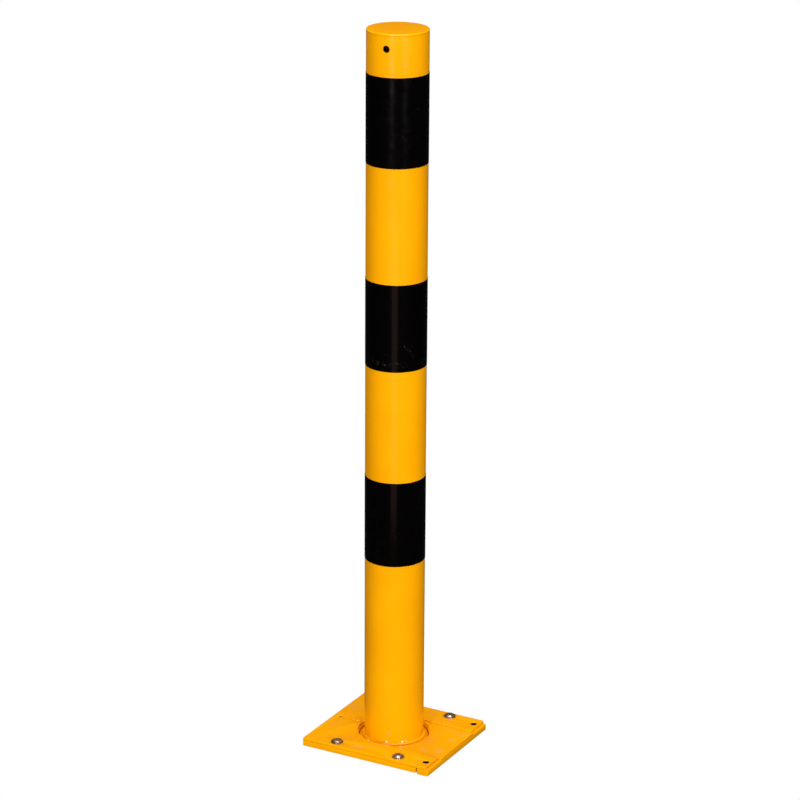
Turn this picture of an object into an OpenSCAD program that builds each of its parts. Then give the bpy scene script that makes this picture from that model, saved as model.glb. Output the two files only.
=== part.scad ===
// Retractable bollard: a round steel post that sinks into a sleeve set in the ground.
// The post is lifted by hand, turned a quarter turn, and then stands on two ledges.
// Origin: on the post's axis, at ground level (the underside of the base frame).
// +Z up, +X the way the slide pulls out, +Y towards the back. Millimetres.

/* [Post] */
// Outer diameter of the post
post_d = 76.1; // [60.3:0.1:114.3]
// Wall of the post's tube
post_wall = 2.9; // [2:0.1:5]
// Height of the raised post above the plate's top
post_height = 916; // [500:1:1200]
// Length of the post that stays below ground when it is raised
post_root = 150; // [140:1:260]
// Thickness of the disc that closes the head
head_t = 3.5; // [2:0.5:8]
// Rounding of the head's rim
head_round = 1.4; // [0.5:0.1:2]
// Diameter of the lifting hole
lift_hole_d = 9; // [6:0.5:14]
// Distance of the lifting hole's axis below the head's top
lift_hole_drop = 19; // [12:1:40]
// Turn of the lifting hole from the front (-Y) towards the slide (+X), degrees
lift_hole_turn = 7; // [0:1:90]

/* [Bands] */
// Width of each black band
band_w = 111; // [60:1:150]
// Distance from one band's top to the next one's
band_pitch = 256; // [160:1:300]
// Distance of the first band's top below the head's top
band_drop = 53; // [30:1:120]
// Thickness of the band's film
band_t = 0.3; // [0.1:0.1:1]

/* [Base plate] */
// Width of the base, across the slide
base_w = 160; // [150:1:260]
// Distance from the axis to the base's back edge
base_back = 89; // [80:1:140]
// Distance from the axis to the frame's front edge
frame_front = 75; // [72:1:130]
// Thickness of the base frame
frame_t = 7; // [4:0.5:12]
// Thickness of the top plate
top_t = 4; // [3:0.5:10]
// How far the top plate reaches past the frame, over the slide's bar
top_overhang = 14; // [12:1:24]
// Width of the channel in the top plate that the slide runs in
channel_w = 89; // [60:1:108]
// Cut across each corner of the base
corner_cut = 0.5; // [0.5:0.5:6]
// Width of the collar round the post's foot
collar_w = 6.25; // [4:0.25:10]
// Gap between the collar and the hole in the frame
collar_gap = 0.9; // [0.5:0.1:2]
// How much wider the opening in the top plate is than the hole in the frame, on the radius
opening_step = 1.2; // [0.5:0.1:4]
// Depth of the collar's top below the frame's top
collar_sink = 1.5; // [0.5:0.5:3]
// Height of the collar
collar_h = 10; // [6:1:20]

/* [Slide] */
// Thickness of the slide's tongue
tongue_t = 2; // [1:0.5:4]
// Thickness of the bar at the slide's end
bar_t = 8; // [5:0.5:12]
// Length of the bar along the slide's pull
bar_l = 16; // [12:0.5:30]
// Gap between the frame's front edge and the bar
bar_gap = 1.5; // [0.5:0.1:3]
// Side clearance of the tongue in its channel
slide_gap = 0.3; // [0.2:0.1:1]

/* [Sleeve] */
// Wall of the sleeve
sleeve_wall = 2.9; // [2:0.1:6]
// Width of the stop ring and the ledges, from the hole's edge to the sleeve's wall
ledge_w = 5.9; // [4:0.1:12]
// Depth of the stop ring's top below ground
stop_depth = 65; // [50:1:90]
// Thickness of the stop ring
stop_t = 10; // [6:1:16]
// Height of the locking lugs
lug_h = 16; // [10:1:24]
// Angle that each lug covers, degrees
lug_angle = 28; // [20:1:40]
// Thickness of the locking ledges
ledge_t = 14; // [8:1:20]
// Height of the turn stops above the ledges
turn_stop_h = 10; // [6:1:14]
// Angle of free room beside a lug at its notch and at its stops, degrees
lug_play = 2; // [1:0.5:4]
// Thickness of the plate that closes the sleeve
bottom_t = 6; // [4:1:12]
// Outer diameter of the drain stub
drain_d = 32; // [20:1:40]
// Wall of the drain stub
drain_wall = 2; // [1.5:0.5:4]
// Length of the drain stub
drain_l = 30; // [20:1:60]
// Diameter of the anchor rods
anchor_d = 12; // [8:1:16]
// Length of the anchor rods
anchor_l = 50; // [20:1:80]
// Height of the anchor rods above the sleeve's bottom
anchor_up = 110; // [40:10:300]
// Thickness of the gussets
gusset_t = 5; // [3:1:10]
// Height of the gussets
gusset_h = 40; // [20:5:60]

/* [Guide] */
// Height of the guide shoe
shoe_h = 25; // [15:1:50]
// Clearance of the guide shoe in the sleeve
shoe_gap = 0.3; // [0.2:0.1:1]
// Thickness of the plug welded into the post's foot
plug_t = 12; // [8:1:30]
// Diameter of the shoe bolt's shoulder
bolt_d = 16; // [10:1:24]
// Thickness of the rubber buffer
buffer_t = 12; // [8:1:30]

/* [Fasteners] */
// Thread diameter of the plate screws and the clamp screws
screw_d = 8; // [6:1:10]
// Head diameter of the plate screws
screw_head_d = 13.4; // [11:0.1:18]
// Head height of the plate screws
screw_head_h = 3.4; // [2:0.1:6]
// Diameter of the washers
washer_d = 16; // [14:0.5:24]
// Thickness of the washers
washer_t = 1.2; // [0.8:0.1:2.5]
// Spacing of the plate screws along the slide
screw_pitch = 89; // [70:1:140]
// Distance of the plate screws from the base's side
screw_edge = 10.5; // [9:0.5:20]
// Distance of the clamp screws from the top plate's front edge
clamp_front = 7; // [6:0.5:10]
// Distance of the clamp screws from the base's side
clamp_edge = 15; // [12:0.5:24]
// Thread diameter of the small screw behind the post
small_screw_d = 5; // [4:0.5:6]
// Diameter of the locating pin
pin_d = 4; // [3:0.5:6]

/* [Hidden] */
$fn = 96;

yellow = "#f5a900";
black = "#15120f";
zinc = "#9da2a3";
steel = "#c9c6bf";
dark_steel = "#2b2a29";
rubber = "#262626";
nylon = "#e6e2d6";

eps = 0.5;                 // how far a cutting tool runs past what it cuts
seat_gap = 0.1;            // radial room between pieces that are welded or pressed together
film_gap = 0.02;           // glue between the film and the tube
running_gap = 0.05;        // radial clearance of a shaft that turns in its bore
face_gap = 0.3;            // room between flat faces that move past each other
lug_lift = 0.5;            // room above and below a lug

post_r = post_d / 2;
plate_top = frame_t + top_t;
post_top = plate_top + post_height;
post_foot = -post_root;
travel = post_height;      // the lowered post's head is level with the plate's top

collar_r = post_r + collar_w;
collar_top = frame_t - collar_sink;
collar_cut = 1.5;          // chamfer on the collar's upper edge
bore_r = collar_r + collar_gap;        // hole in the frame, the stop ring and the ledges
opening_r = bore_r + opening_step;     // round opening in the top plate and the slide
sleeve_ri = bore_r + ledge_w;
sleeve_ro = sleeve_ri + sleeve_wall;
lug_r = sleeve_ri - collar_gap;

stop_bottom = -stop_depth - stop_t;
lug_top = stop_bottom - lug_lift;
lug_bottom = lug_top - lug_h;
ledge_top = lug_bottom - lug_lift;
notch_angle = lug_angle + 3 * lug_play;
turn_stop_from = 90 + lug_angle / 2 + lug_play / 2;
turn_stop_to = 180 - notch_angle / 2;

shoe_top = post_foot - face_gap;
shoe_bottom = shoe_top - shoe_h;
shoe_r = sleeve_ri - shoe_gap;
shoe_washer_r = bolt_d * 0.95;
shoe_washer_t = 3;
shoe_washer_bottom = shoe_bottom - face_gap - shoe_washer_t;
bolt_head_h = 8;
bolt_thread_r = bolt_d * 3 / 8;
buffer_top = shoe_bottom - travel - face_gap;
sleeve_bottom = buffer_top - buffer_t;
buffer_hole_r = shoe_washer_r + 5;
drain_r = drain_d / 2;

frame_back = -base_back;
top_front = frame_front + top_overhang;
bar_back = frame_front + bar_gap;
bar_front = bar_back + bar_l;
tongue_hw = channel_w / 2 - slide_gap;

screw_xs = [-screw_pitch / 2, screw_pitch / 2];
screw_y = base_w / 2 - screw_edge;
clamp_x = top_front - clamp_front;
clamp_y = base_w / 2 - clamp_edge;
hole_room = 0.5;           // radial room round a through screw
nut_af = screw_d * 1.75;   // across the flats of a weld nut
nut_h = screw_d * 0.8;
screw_tail = 1.5;          // thread that shows below the nut
key_d = screw_d * 0.58;    // across the corners of a hexagon socket
small_x = -opening_r - 7.5;
small_head_d = small_screw_d * 1.9;
small_head_h = small_screw_d * 0.5;
small_end = 1;             // height of the small screw's and the pin's lower ends
pin_x = -base_back + 10;
pin_sink = 1;              // depth of the pin's top below the plate

// A ring from z0 up to z1
module ring(r_out, r_in, z0, z1) {
    translate([0, 0, z0]) difference() {
        cylinder(r = r_out, h = z1 - z0);
        translate([0, 0, -eps]) cylinder(r = r_in, h = z1 - z0 + 2 * eps);
    }
}

// A stretch of a ring between two angles
module ring_sector(r_out, r_in, z0, z1, from, to) {
    rotate([0, 0, from]) rotate_extrude(angle = to - from)
        translate([r_in, z0]) square([r_out - r_in, z1 - z0]);
}

// A rectangular outline with its corners cut off
module cut_rectangle(x0, x1, y_half, cut) {
    polygon([
        [x0 + cut, -y_half], [x1 - cut, -y_half], [x1, -y_half + cut], [x1, y_half - cut],
        [x1 - cut, y_half], [x0 + cut, y_half], [x0, y_half - cut], [x0, -y_half + cut]
    ]);
}

// Puts a copy at each of the four plate screws
module at_plate_screws() {
    for (x = screw_xs, y = [-screw_y, screw_y]) translate([x, y, 0]) children();
}

// Puts a copy at each of the two clamp screws
module at_clamp_screws() {
    for (y = [-clamp_y, clamp_y]) translate([clamp_x, y, 0]) children();
}

// A domed head with a hexagon socket, standing on z = 0
module domed_head(d, h, key, key_depth) {
    rim = h * 0.35;
    dome_r = (d * d / 4 + (h - rim) * (h - rim)) / (2 * (h - rim));
    difference() {
        intersection() {
            cylinder(d = d, h = h);
            translate([0, 0, h - dome_r]) sphere(r = dome_r);
        }
        translate([0, 0, h - key_depth]) cylinder(d = key, h = key_depth + eps, $fn = 6);
    }
}

// ---- Base ----

module base_frame() {
    color(yellow) difference() {
        linear_extrude(frame_t) polygon([
            [frame_back + corner_cut, -base_w / 2], [frame_front, -base_w / 2],
            [frame_front, base_w / 2], [frame_back + corner_cut, base_w / 2],
            [frame_back, base_w / 2 - corner_cut], [frame_back, -base_w / 2 + corner_cut]
        ]);
        translate([0, 0, -eps]) cylinder(r = bore_r, h = frame_t + 2 * eps);
        at_plate_screws() translate([0, 0, -eps])
            cylinder(d = screw_d + 2 * hole_room, h = frame_t + 2 * eps);
        translate([small_x, 0, small_end])
            cylinder(d = small_screw_d + 2 * running_gap, h = frame_t);
        translate([pin_x, 0, small_end]) cylinder(d = pin_d + 2 * running_gap, h = frame_t);
    }
}

module top_plate() {
    color(yellow) translate([0, 0, frame_t]) difference() {
        linear_extrude(top_t) cut_rectangle(frame_back, top_front, base_w / 2, corner_cut);
        translate([0, 0, -eps]) cylinder(r = opening_r, h = top_t + 2 * eps);
        translate([0, -channel_w / 2, -eps])
            cube([top_front + eps, channel_w, top_t + 2 * eps]);
        at_plate_screws() translate([0, 0, -eps])
            cylinder(d = screw_d + 2 * hole_room, h = top_t + 2 * eps);
        at_clamp_screws() translate([0, 0, -eps])
            cylinder(d = screw_d + 2 * running_gap, h = top_t + 2 * eps);
        translate([small_x, 0, -eps])
            cylinder(d = small_screw_d + 2 * running_gap, h = top_t + 2 * eps);
        translate([pin_x, 0, -eps]) cylinder(d = pin_d + 2 * running_gap, h = top_t + 2 * eps);
    }
}

module top_plate_screws() {
    shank_l = washer_t + plate_top + nut_h + screw_tail;
    color(steel) at_plate_screws() {
        translate([0, 0, plate_top + washer_t])
            domed_head(screw_head_d, screw_head_h, key_d, screw_head_h * 0.6);
        translate([0, 0, plate_top + washer_t - shank_l]) cylinder(d = screw_d, h = shank_l);
    }
}

module screw_washers() {
    color(steel) at_plate_screws()
        ring(washer_d / 2, screw_d / 2 + hole_room / 2, plate_top, plate_top + washer_t);
}

module weld_nuts() {
    color(zinc) at_plate_screws() translate([0, 0, -nut_h]) difference() {
        cylinder(d = nut_af / cos(30), h = nut_h, $fn = 6);
        translate([0, 0, -eps]) cylinder(d = screw_d + 2 * running_gap, h = nut_h + 2 * eps);
    }
}

module slide_clamp_screws() {
    sink = 0.6;            // depth of the screw's top below the plate
    color(dark_steel) at_clamp_screws() translate([0, 0, frame_t + face_gap]) difference() {
        cylinder(d = screw_d, h = top_t - face_gap - sink);
        translate([0, 0, face_gap + 1]) cylinder(d = key_d, h = top_t, $fn = 6);
    }
}

module small_plate_screw() {
    color(yellow) translate([small_x, 0, 0]) {
        translate([0, 0, plate_top])
            domed_head(small_head_d, small_head_h, small_screw_d * 0.58, small_head_h * 0.5);
        translate([0, 0, small_end]) cylinder(d = small_screw_d, h = plate_top - small_end);
    }
}

module locating_pin() {
    color(dark_steel) translate([pin_x, 0, small_end])
        cylinder(d = pin_d, h = plate_top - small_end - pin_sink);
}

// ---- Sleeve in the ground ----

module sleeve_tube() {
    color(zinc) ring(sleeve_ro, sleeve_ri, sleeve_bottom, 0);
}

module sleeve_bottom_plate() {
    color(zinc) ring(sleeve_ro, drain_r - drain_wall, sleeve_bottom - bottom_t, sleeve_bottom);
}

module drain_stub() {
    stub_top = sleeve_bottom - bottom_t;
    color(zinc) ring(drain_r, drain_r - drain_wall, stub_top - drain_l, stub_top);
}

module sleeve_anchors() {
    color(zinc) difference() {
        for (turn = [45:90:315]) rotate([0, 0, turn])
            translate([sleeve_ro - sleeve_wall, 0, sleeve_bottom + anchor_up])
                rotate([0, 90, 0]) cylinder(d = anchor_d, h = anchor_l + sleeve_wall);
        translate([0, 0, sleeve_bottom]) cylinder(r = sleeve_ro, h = -sleeve_bottom);
    }
}

module sleeve_gussets() {
    reach = frame_front;
    foot = 4;              // blunt end of a gusset's outer corner
    color(zinc) difference() {
        for (turn = [0:90:270]) rotate([0, 0, turn]) translate([0, gusset_t / 2, 0])
            rotate([90, 0, 0]) linear_extrude(gusset_t) polygon([
                [sleeve_ri, 0], [reach, 0], [reach, -foot],
                [sleeve_ro + foot, -gusset_h], [sleeve_ri, -gusset_h]
            ]);
        translate([0, 0, -gusset_h - eps]) cylinder(r = sleeve_ro, h = gusset_h + 2 * eps);
    }
}

module upper_stop_ring() {
    color(zinc) ring(sleeve_ri - seat_gap, bore_r, stop_bottom, -stop_depth);
}

module locking_ledges() {
    color(zinc) for (side = [0, 180]) rotate([0, 0, side])
        ring_sector(sleeve_ri - seat_gap, bore_r, ledge_top - ledge_t, ledge_top,
                    notch_angle / 2, 180 - notch_angle / 2);
}

module turn_stops() {
    color(zinc) for (side = [0, 180]) rotate([0, 0, side])
        ring_sector(sleeve_ri - seat_gap, bore_r, ledge_top, ledge_top + turn_stop_h,
                    turn_stop_from, turn_stop_to);
}

module rubber_buffer() {
    color(rubber) ring(shoe_r - 2, buffer_hole_r, sleeve_bottom, buffer_top);
}

// ---- Slide ----

module slide_tongue() {
    color(yellow) translate([0, 0, frame_t]) difference() {
        translate([0, -tongue_hw, 0]) cube([bar_front, 2 * tongue_hw, tongue_t]);
        translate([0, 0, -eps]) cylinder(r = opening_r, h = tongue_t + 2 * eps);
    }
}

module slide_bar() {
    color(yellow) translate([bar_back, -base_w / 2, frame_t - bar_t])
        cube([bar_l, base_w, bar_t]);
}

// ---- Guide shoe ----

module guide_shoe() {
    lead = 3;              // chamfer on the shoe's lower edge
    bore = bolt_d / 2 + running_gap;
    color(nylon) rotate_extrude() polygon([
        [bore, shoe_bottom], [shoe_r - lead, shoe_bottom], [shoe_r, shoe_bottom + lead],
        [shoe_r, shoe_top], [bore, shoe_top]
    ]);
}

// ---- Post ----

module lifting_hole() {
    translate([0, 0, post_top - lift_hole_drop]) rotate([0, 0, lift_hole_turn])
        rotate([90, 0, 0]) cylinder(d = lift_hole_d, h = post_d + 2 * eps, center = true);
}

module post_tube() {
    color(yellow) difference() {
        ring(post_r, post_r - post_wall, post_foot, post_top - head_t);
        lifting_hole();
    }
}

module head_cap() {
    rim = post_r - head_round;
    color(yellow) union() {
        translate([0, 0, post_top - head_t]) cylinder(r = post_r, h = head_t - head_round);
        translate([0, 0, post_top - head_round]) cylinder(r = rim, h = head_round);
        translate([0, 0, post_top - head_round]) rotate_extrude() translate([rim, 0])
            intersection() {
                circle(r = head_round);
                square(head_round);
            }
    }
}

// The film of the band that starts so many steps below the first
module band(step) {
    top = post_top - band_drop - step * band_pitch;
    color(black) ring(post_r + film_gap + band_t, post_r + film_gap, top - band_w, top);
}

module black_band_upper() { band(0); }

module black_band_middle() { band(1); }

module black_band_lower() { band(2); }

module post_collar() {
    color(yellow) rotate_extrude() polygon([
        [post_r + seat_gap, collar_top - collar_h], [collar_r, collar_top - collar_h],
        [collar_r, collar_top - collar_cut], [collar_r - collar_cut, collar_top],
        [post_r + seat_gap, collar_top]
    ]);
}

module locking_lugs() {
    color(zinc) for (side = [0, 180]) rotate([0, 0, side])
        ring_sector(lug_r, post_r + seat_gap, lug_bottom, lug_top, -lug_angle / 2, lug_angle / 2);
}

module foot_plug() {
    color(zinc) ring(post_r - post_wall - seat_gap, bolt_thread_r + running_gap,
                     post_foot, post_foot + plug_t);
}

module shoe_washer() {
    color(zinc) ring(shoe_washer_r, bolt_d / 2 + running_gap,
                     shoe_washer_bottom, shoe_washer_bottom + shoe_washer_t);
}

module shoe_bolt() {
    color(zinc) union() {
        translate([0, 0, shoe_washer_bottom - bolt_head_h])
            cylinder(d = bolt_d * 1.6, h = bolt_head_h, $fn = 6);
        translate([0, 0, shoe_washer_bottom])
            cylinder(d = bolt_d, h = post_foot - shoe_washer_bottom);
        translate([0, 0, post_foot]) cylinder(r = bolt_thread_r, h = plug_t);
    }
}

base_frame();
top_plate();
top_plate_screws();
screw_washers();
weld_nuts();
slide_clamp_screws();
small_plate_screw();
locating_pin();
sleeve_tube();
sleeve_bottom_plate();
drain_stub();
sleeve_anchors();
sleeve_gussets();
upper_stop_ring();
locking_ledges();
turn_stops();
rubber_buffer();
slide_tongue();
slide_bar();
guide_shoe();
post_tube();
head_cap();
black_band_upper();
black_band_middle();
black_band_lower();
post_collar();
locking_lugs();
foot_plug();
shoe_washer();
shoe_bolt();
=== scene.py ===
"""Looks of a retractable bollard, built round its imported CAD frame.

The post is painted steel tube with bands of black film. It sinks into a galvanised sleeve
below a base of two painted plates, with a slide across the front. Everything is in metres,
in the frame's own axes: Z up the post, X the way the slide pulls out, Y to the back.
"""

from __future__ import annotations

import logging
import math
from dataclasses import dataclass, field
from enum import Enum
from typing import Any

import bmesh
import bpy
import numpy as np
from mathutils import Matrix, Vector
from mathutils.geometry import tessellate_polygon

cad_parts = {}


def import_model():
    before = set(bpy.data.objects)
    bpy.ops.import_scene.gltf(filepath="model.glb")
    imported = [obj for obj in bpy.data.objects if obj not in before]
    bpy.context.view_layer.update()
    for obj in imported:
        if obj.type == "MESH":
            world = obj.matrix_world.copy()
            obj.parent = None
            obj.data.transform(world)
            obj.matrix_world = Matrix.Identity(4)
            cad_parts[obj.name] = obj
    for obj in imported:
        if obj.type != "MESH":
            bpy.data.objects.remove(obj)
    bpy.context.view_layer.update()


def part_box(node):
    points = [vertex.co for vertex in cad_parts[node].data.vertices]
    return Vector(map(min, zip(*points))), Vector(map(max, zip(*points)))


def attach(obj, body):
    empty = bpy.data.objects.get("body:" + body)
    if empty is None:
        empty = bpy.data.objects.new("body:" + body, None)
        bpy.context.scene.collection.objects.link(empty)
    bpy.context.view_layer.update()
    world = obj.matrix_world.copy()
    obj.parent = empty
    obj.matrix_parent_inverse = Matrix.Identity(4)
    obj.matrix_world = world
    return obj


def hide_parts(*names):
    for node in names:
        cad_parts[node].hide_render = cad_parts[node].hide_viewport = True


LOG = logging.getLogger("bollard")
MM = 0.001
WELD = 1e-6  # vertices closer than this are one
RIPPLE = 3.2 * MM  # from one ripple of a weld to the next
SQUARE = (0, 90, 180, 270)  # degrees round Z
DIAGONAL = (45, 135, 225, 315)


class Body(str, Enum):
    """The rigid bodies that pieces ride on."""

    BASE = "base"
    SLIDE = "slide"
    GUIDE = "guide"
    POST = "post"


class Slot(str, Enum):
    """The record's material slots."""

    YELLOW = "yellow_powder_coat"
    FILM = "black_film"
    ZINC = "galvanised_steel"
    STAINLESS = "stainless_steel"
    OXIDE = "black_oxide_steel"
    RUBBER = "black_rubber"
    NYLON = "white_nylon"


# ---------------------------------------------------------------- shapes


def grid_quads(rows: int, cols: int, wrap_rows: bool, wrap_cols: bool) -> np.ndarray:
    """Faces between neighbouring points of a grid that is stored row by row.

    Args:
        rows: number of rows.
        cols: number of points in a row.
        wrap_rows: whether the last row joins the first.
        wrap_cols: whether a row's last point joins its first.

    Returns:
        Vertex numbers, shape (rows, cols, 4), one entry per cell of the grid.
    """
    r = np.arange(rows if wrap_rows else rows - 1)[:, None]
    c = np.arange(cols if wrap_cols else cols - 1)[None, :]
    up, right = (r + 1) % rows, (c + 1) % cols
    return np.stack([r * cols + c, r * cols + right, up * cols + right, up * cols + c], axis=-1)


class Shell:
    """Vertices and faces gathered from surfaces, which then become one mesh."""

    def __init__(self) -> None:
        """Starts with nothing."""
        self.points: list[np.ndarray] = []
        self.faces: list[list[int]] = []
        self.count = 0

    def add(self, points: np.ndarray, faces: np.ndarray) -> Shell:
        """Adds points and the faces that join them.

        Args:
            points: shape (n, 3).
            faces: vertex numbers among these points, shape (m, 3) or (m, 4).

        Returns:
            This shell.
        """
        self.points.append(points.reshape(-1, 3))
        self.faces.extend((faces + self.count).tolist())
        self.count += len(self.points[-1])
        return self

    def grid(
        self,
        points: np.ndarray,
        wrap_rows: bool = False,
        wrap_cols: bool = True,
        keep: np.ndarray | None = None,
    ) -> Shell:
        """Adds a surface whose points are a grid.

        Args:
            points: shape (rows, cols, 3).
            wrap_rows: whether the last row joins the first.
            wrap_cols: whether a row's last point joins its first.
            keep: which cells to keep, or None for all of them.

        Returns:
            This shell.
        """
        quads = grid_quads(points.shape[0], points.shape[1], wrap_rows, wrap_cols)
        quads = quads.reshape(-1, 4) if keep is None else quads[keep]
        return self.add(points, quads)

    def fill(self, rings: list[np.ndarray]) -> Shell:
        """Fills the flat area inside the first ring and outside the others with triangles.

        Args:
            rings: closed outlines at one height, each of shape (n, 3).

        Returns:
            This shell.
        """
        corners = [[Vector(p) for p in ring] for ring in rings]
        triangles = np.array(tessellate_polygon(corners), dtype=int)
        return self.add(np.concatenate(rings), triangles)

    def join(self, other: Shell) -> Shell:
        """Adds another shell's points and faces.

        Args:
            other: the other shell, which stays as it is.

        Returns:
            This shell.
        """
        self.faces.extend([i + self.count for i in face] for face in other.faces)
        self.points.extend(other.points)
        self.count += other.count
        return self

    def moved(self, place: Matrix) -> Shell:
        """A copy whose points are carried by a 4 x 4 matrix.

        Args:
            place: the matrix.

        Returns:
            The copy.
        """
        m = np.array(place)
        copy = Shell()
        copy.points = [p @ m[:3, :3].T + m[:3, 3] for p in self.points]
        copy.faces = list(self.faces)
        copy.count = self.count
        return copy

    def repeated(self, places: list[Matrix]) -> Shell:
        """Copies at several places, as one shell.

        Args:
            places: a 4 x 4 matrix for each copy.

        Returns:
            The shell of copies.
        """
        group = Shell()
        for place in places:
            group.join(self.moved(place))
        return group


@dataclass(frozen=True)
class Piece:
    """How one finished mesh belongs to the object.

    Attributes:
        name: the object's name.
        body: the rigid body that it rides on.
        slot: the record's slot that its finish comes from; not used.
        stands_for: the CAD nodes that it is shown instead of.
    """

    name: str
    body: Body
    slot: Slot
    stands_for: tuple[str, ...]

    def make(self, shell: Shell, material: bpy.types.Material, crease: float = 35.0) -> None:
        """Turns a shell into this piece: merged, faced outwards, smoothed and riding.

        Args:
            shell: the surfaces, which close on each other.
            material: its finish.
            crease: edges that turn more than this many degrees stay sharp.
        """
        mesh = bpy.data.meshes.new(self.name)
        mesh.from_pydata(np.concatenate(shell.points).tolist(), [], shell.faces)
        work = bmesh.new()
        work.from_mesh(mesh)
        bmesh.ops.remove_doubles(work, verts=work.verts, dist=WELD)
        bmesh.ops.dissolve_degenerate(work, edges=work.edges, dist=WELD)
        bmesh.ops.recalc_face_normals(work, faces=work.faces)
        open_edges = sum(1 for edge in work.edges if len(edge.link_faces) != 2)
        work.to_mesh(mesh)
        work.free()
        mesh.shade_smooth()
        mesh.set_sharp_from_angle(angle=math.radians(crease))
        mesh.materials.append(material)
        piece = bpy.data.objects.new(self.name, mesh)
        bpy.context.scene.collection.objects.link(piece)
        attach(piece, self.body.value)
        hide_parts(*self.stands_for)
        LOG.info("%s: %d faces, %d open edges", self.name, len(mesh.polygons), open_edges)


def spin(degrees: float) -> Matrix:
    """A turn about Z."""
    return Matrix.Rotation(math.radians(degrees), 4, "Z")


def shift(x: float, y: float, z: float) -> Matrix:
    """A move without a turn."""
    return Matrix.Translation((x, y, z))


def arc(
    radius: float, start: float, end: float, steps: int, centre: tuple[float, float] = (0.0, 0.0)
) -> np.ndarray:
    """Points on a circle: centre + radius (cos a, sin a), with a from start to end in degrees."""
    a = np.radians(np.linspace(start, end, steps + 1))
    return np.stack([centre[0] + radius * np.cos(a), centre[1] + radius * np.sin(a)], axis=1)


def fillet(corners: np.ndarray, radii: np.ndarray | float, steps: int = 4) -> np.ndarray:
    """Rounds the corners of a closed outline.

    Each corner is replaced by the arc that touches both of its sides. The arc's ends lie
    radius / tan(half the corner's angle) from the corner, and its points are turned from
    one end's spoke to the other's.

    Args:
        corners: shape (n, 2).
        radii: one radius, or one for each corner.
        steps: straight steps in each arc.

    Returns:
        The rounded outline, shape (n * (steps + 1), 2).
    """
    corners = np.asarray(corners, float)
    radii = np.broadcast_to(np.asarray(radii, float), len(corners))
    back, ahead = np.roll(corners, 1, axis=0) - corners, np.roll(corners, -1, axis=0) - corners
    back_l, ahead_l = np.linalg.norm(back, axis=1), np.linalg.norm(ahead, axis=1)
    back, ahead = back / back_l[:, None], ahead / ahead_l[:, None]
    half = np.arccos(np.clip(np.sum(back * ahead, axis=1), -1, 1)) / 2
    reach = np.minimum(radii / np.tan(half), 0.45 * np.minimum(back_l, ahead_l))
    radius = reach * np.tan(half)
    middle = (back + ahead) / np.linalg.norm(back + ahead, axis=1)[:, None]
    centre = corners + middle * (radius / np.sin(half))[:, None]
    first = corners + back * reach[:, None] - centre
    last = corners + ahead * reach[:, None] - centre
    sweep = math.pi - 2 * half
    w = np.linspace(0, 1, steps + 1)[None, :, None]
    s = sweep[:, None, None]
    spokes = (np.sin((1 - w) * s) * first[:, None] + np.sin(w * s) * last[:, None]) / np.sin(s)
    return (centre[:, None] + spokes).reshape(-1, 2)


def around(turns: int) -> np.ndarray:
    """Angles at equal steps round a full turn, in radians."""
    return np.linspace(0, math.tau, turns, endpoint=False)


def rings_about_z(radius: np.ndarray, height: np.ndarray, turns: int) -> np.ndarray:
    """Rings of points: (radius cos a, radius sin a, height), with a round the full turn.

    Args:
        radius: shape (n, 1), or (n, turns) where it changes with the angle.
        height: shape (n, 1).
        turns: points in a ring.

    Returns:
        A grid of points, shape (n, turns, 3).
    """
    a = around(turns)
    return np.stack(np.broadcast_arrays(radius * np.cos(a), radius * np.sin(a), height), axis=-1)


def revolve(profile: np.ndarray, turns: int) -> np.ndarray:
    """A profile of (radius, height) points, shape (n, 2), turned about Z into a grid."""
    return rings_about_z(profile[:, :1], profile[:, 1:], turns)


def ring(outer: float, inner: float, low: float, high: float, edge: float) -> np.ndarray:
    """The closed profile of a ring with rounded edges, as (radius, height) points."""
    return fillet(np.array([[outer, low], [outer, high], [inner, high], [inner, low]]), edge)


def ring_shell(profile: np.ndarray, turns: int = 96) -> Shell:
    """A closed profile turned about Z."""
    return Shell().grid(revolve(profile, turns), wrap_rows=True)


def solid_shell(profile: np.ndarray, turns: int) -> Shell:
    """An open profile that starts and ends on the axis, turned about Z."""
    return Shell().grid(revolve(profile, turns))


def offset_loop(loop: np.ndarray, inset: np.ndarray) -> np.ndarray:
    """A closed outline moved towards its left side, with mitred corners.

    A point moves along the sum of its two sides' normals, divided by one plus their dot
    product, which keeps each side at the same distance.

    Args:
        loop: shape (n, 2).
        inset: distances, shape (k,).

    Returns:
        The moved outlines, shape (k, n, 2).
    """
    side = np.roll(loop, -1, axis=0) - loop
    side /= np.linalg.norm(side, axis=1)[:, None]
    normal = np.stack([-side[:, 1], side[:, 0]], axis=1)
    before = np.roll(normal, 1, axis=0)
    mitre = (normal + before) / (1 + np.sum(normal * before, axis=1))[:, None]
    return loop[None] + inset[:, None, None] * mitre[None]


def slab(outer: np.ndarray, holes: list[np.ndarray], low: float, high: float, edge: float) -> Shell:
    """A flat plate with holes, whose edges are rounded.

    The plate's edge profile, two quarter circles with an upright between them, is carried
    along every outline, and both faces are filled between the outlines.

    Args:
        outer: the outline, anticlockwise, shape (n, 2).
        holes: outlines of the holes, clockwise.
        low: height of the lower face.
        high: height of the upper face.
        edge: radius of the rounded edges.

    Returns:
        The plate's closed shell.
    """
    a = np.radians(np.linspace(0, 90, 4))
    inset = np.concatenate([edge * (1 - np.sin(a)), edge * (1 - np.cos(a))])
    height = np.concatenate([low + edge * (1 - np.cos(a)), high - edge * (1 - np.sin(a))])
    shell = Shell()
    faces: list[list[np.ndarray]] = [[], []]
    for loop in [outer, *holes]:
        flat = offset_loop(loop, inset)
        z = np.broadcast_to(height[:, None, None], (*flat.shape[:2], 1))
        points = np.concatenate([flat, z], axis=2)
        shell.grid(points)
        faces[0].append(points[0])
        faces[1].append(points[-1])
    for rings in faces:
        shell.fill(rings)
    return shell


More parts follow.
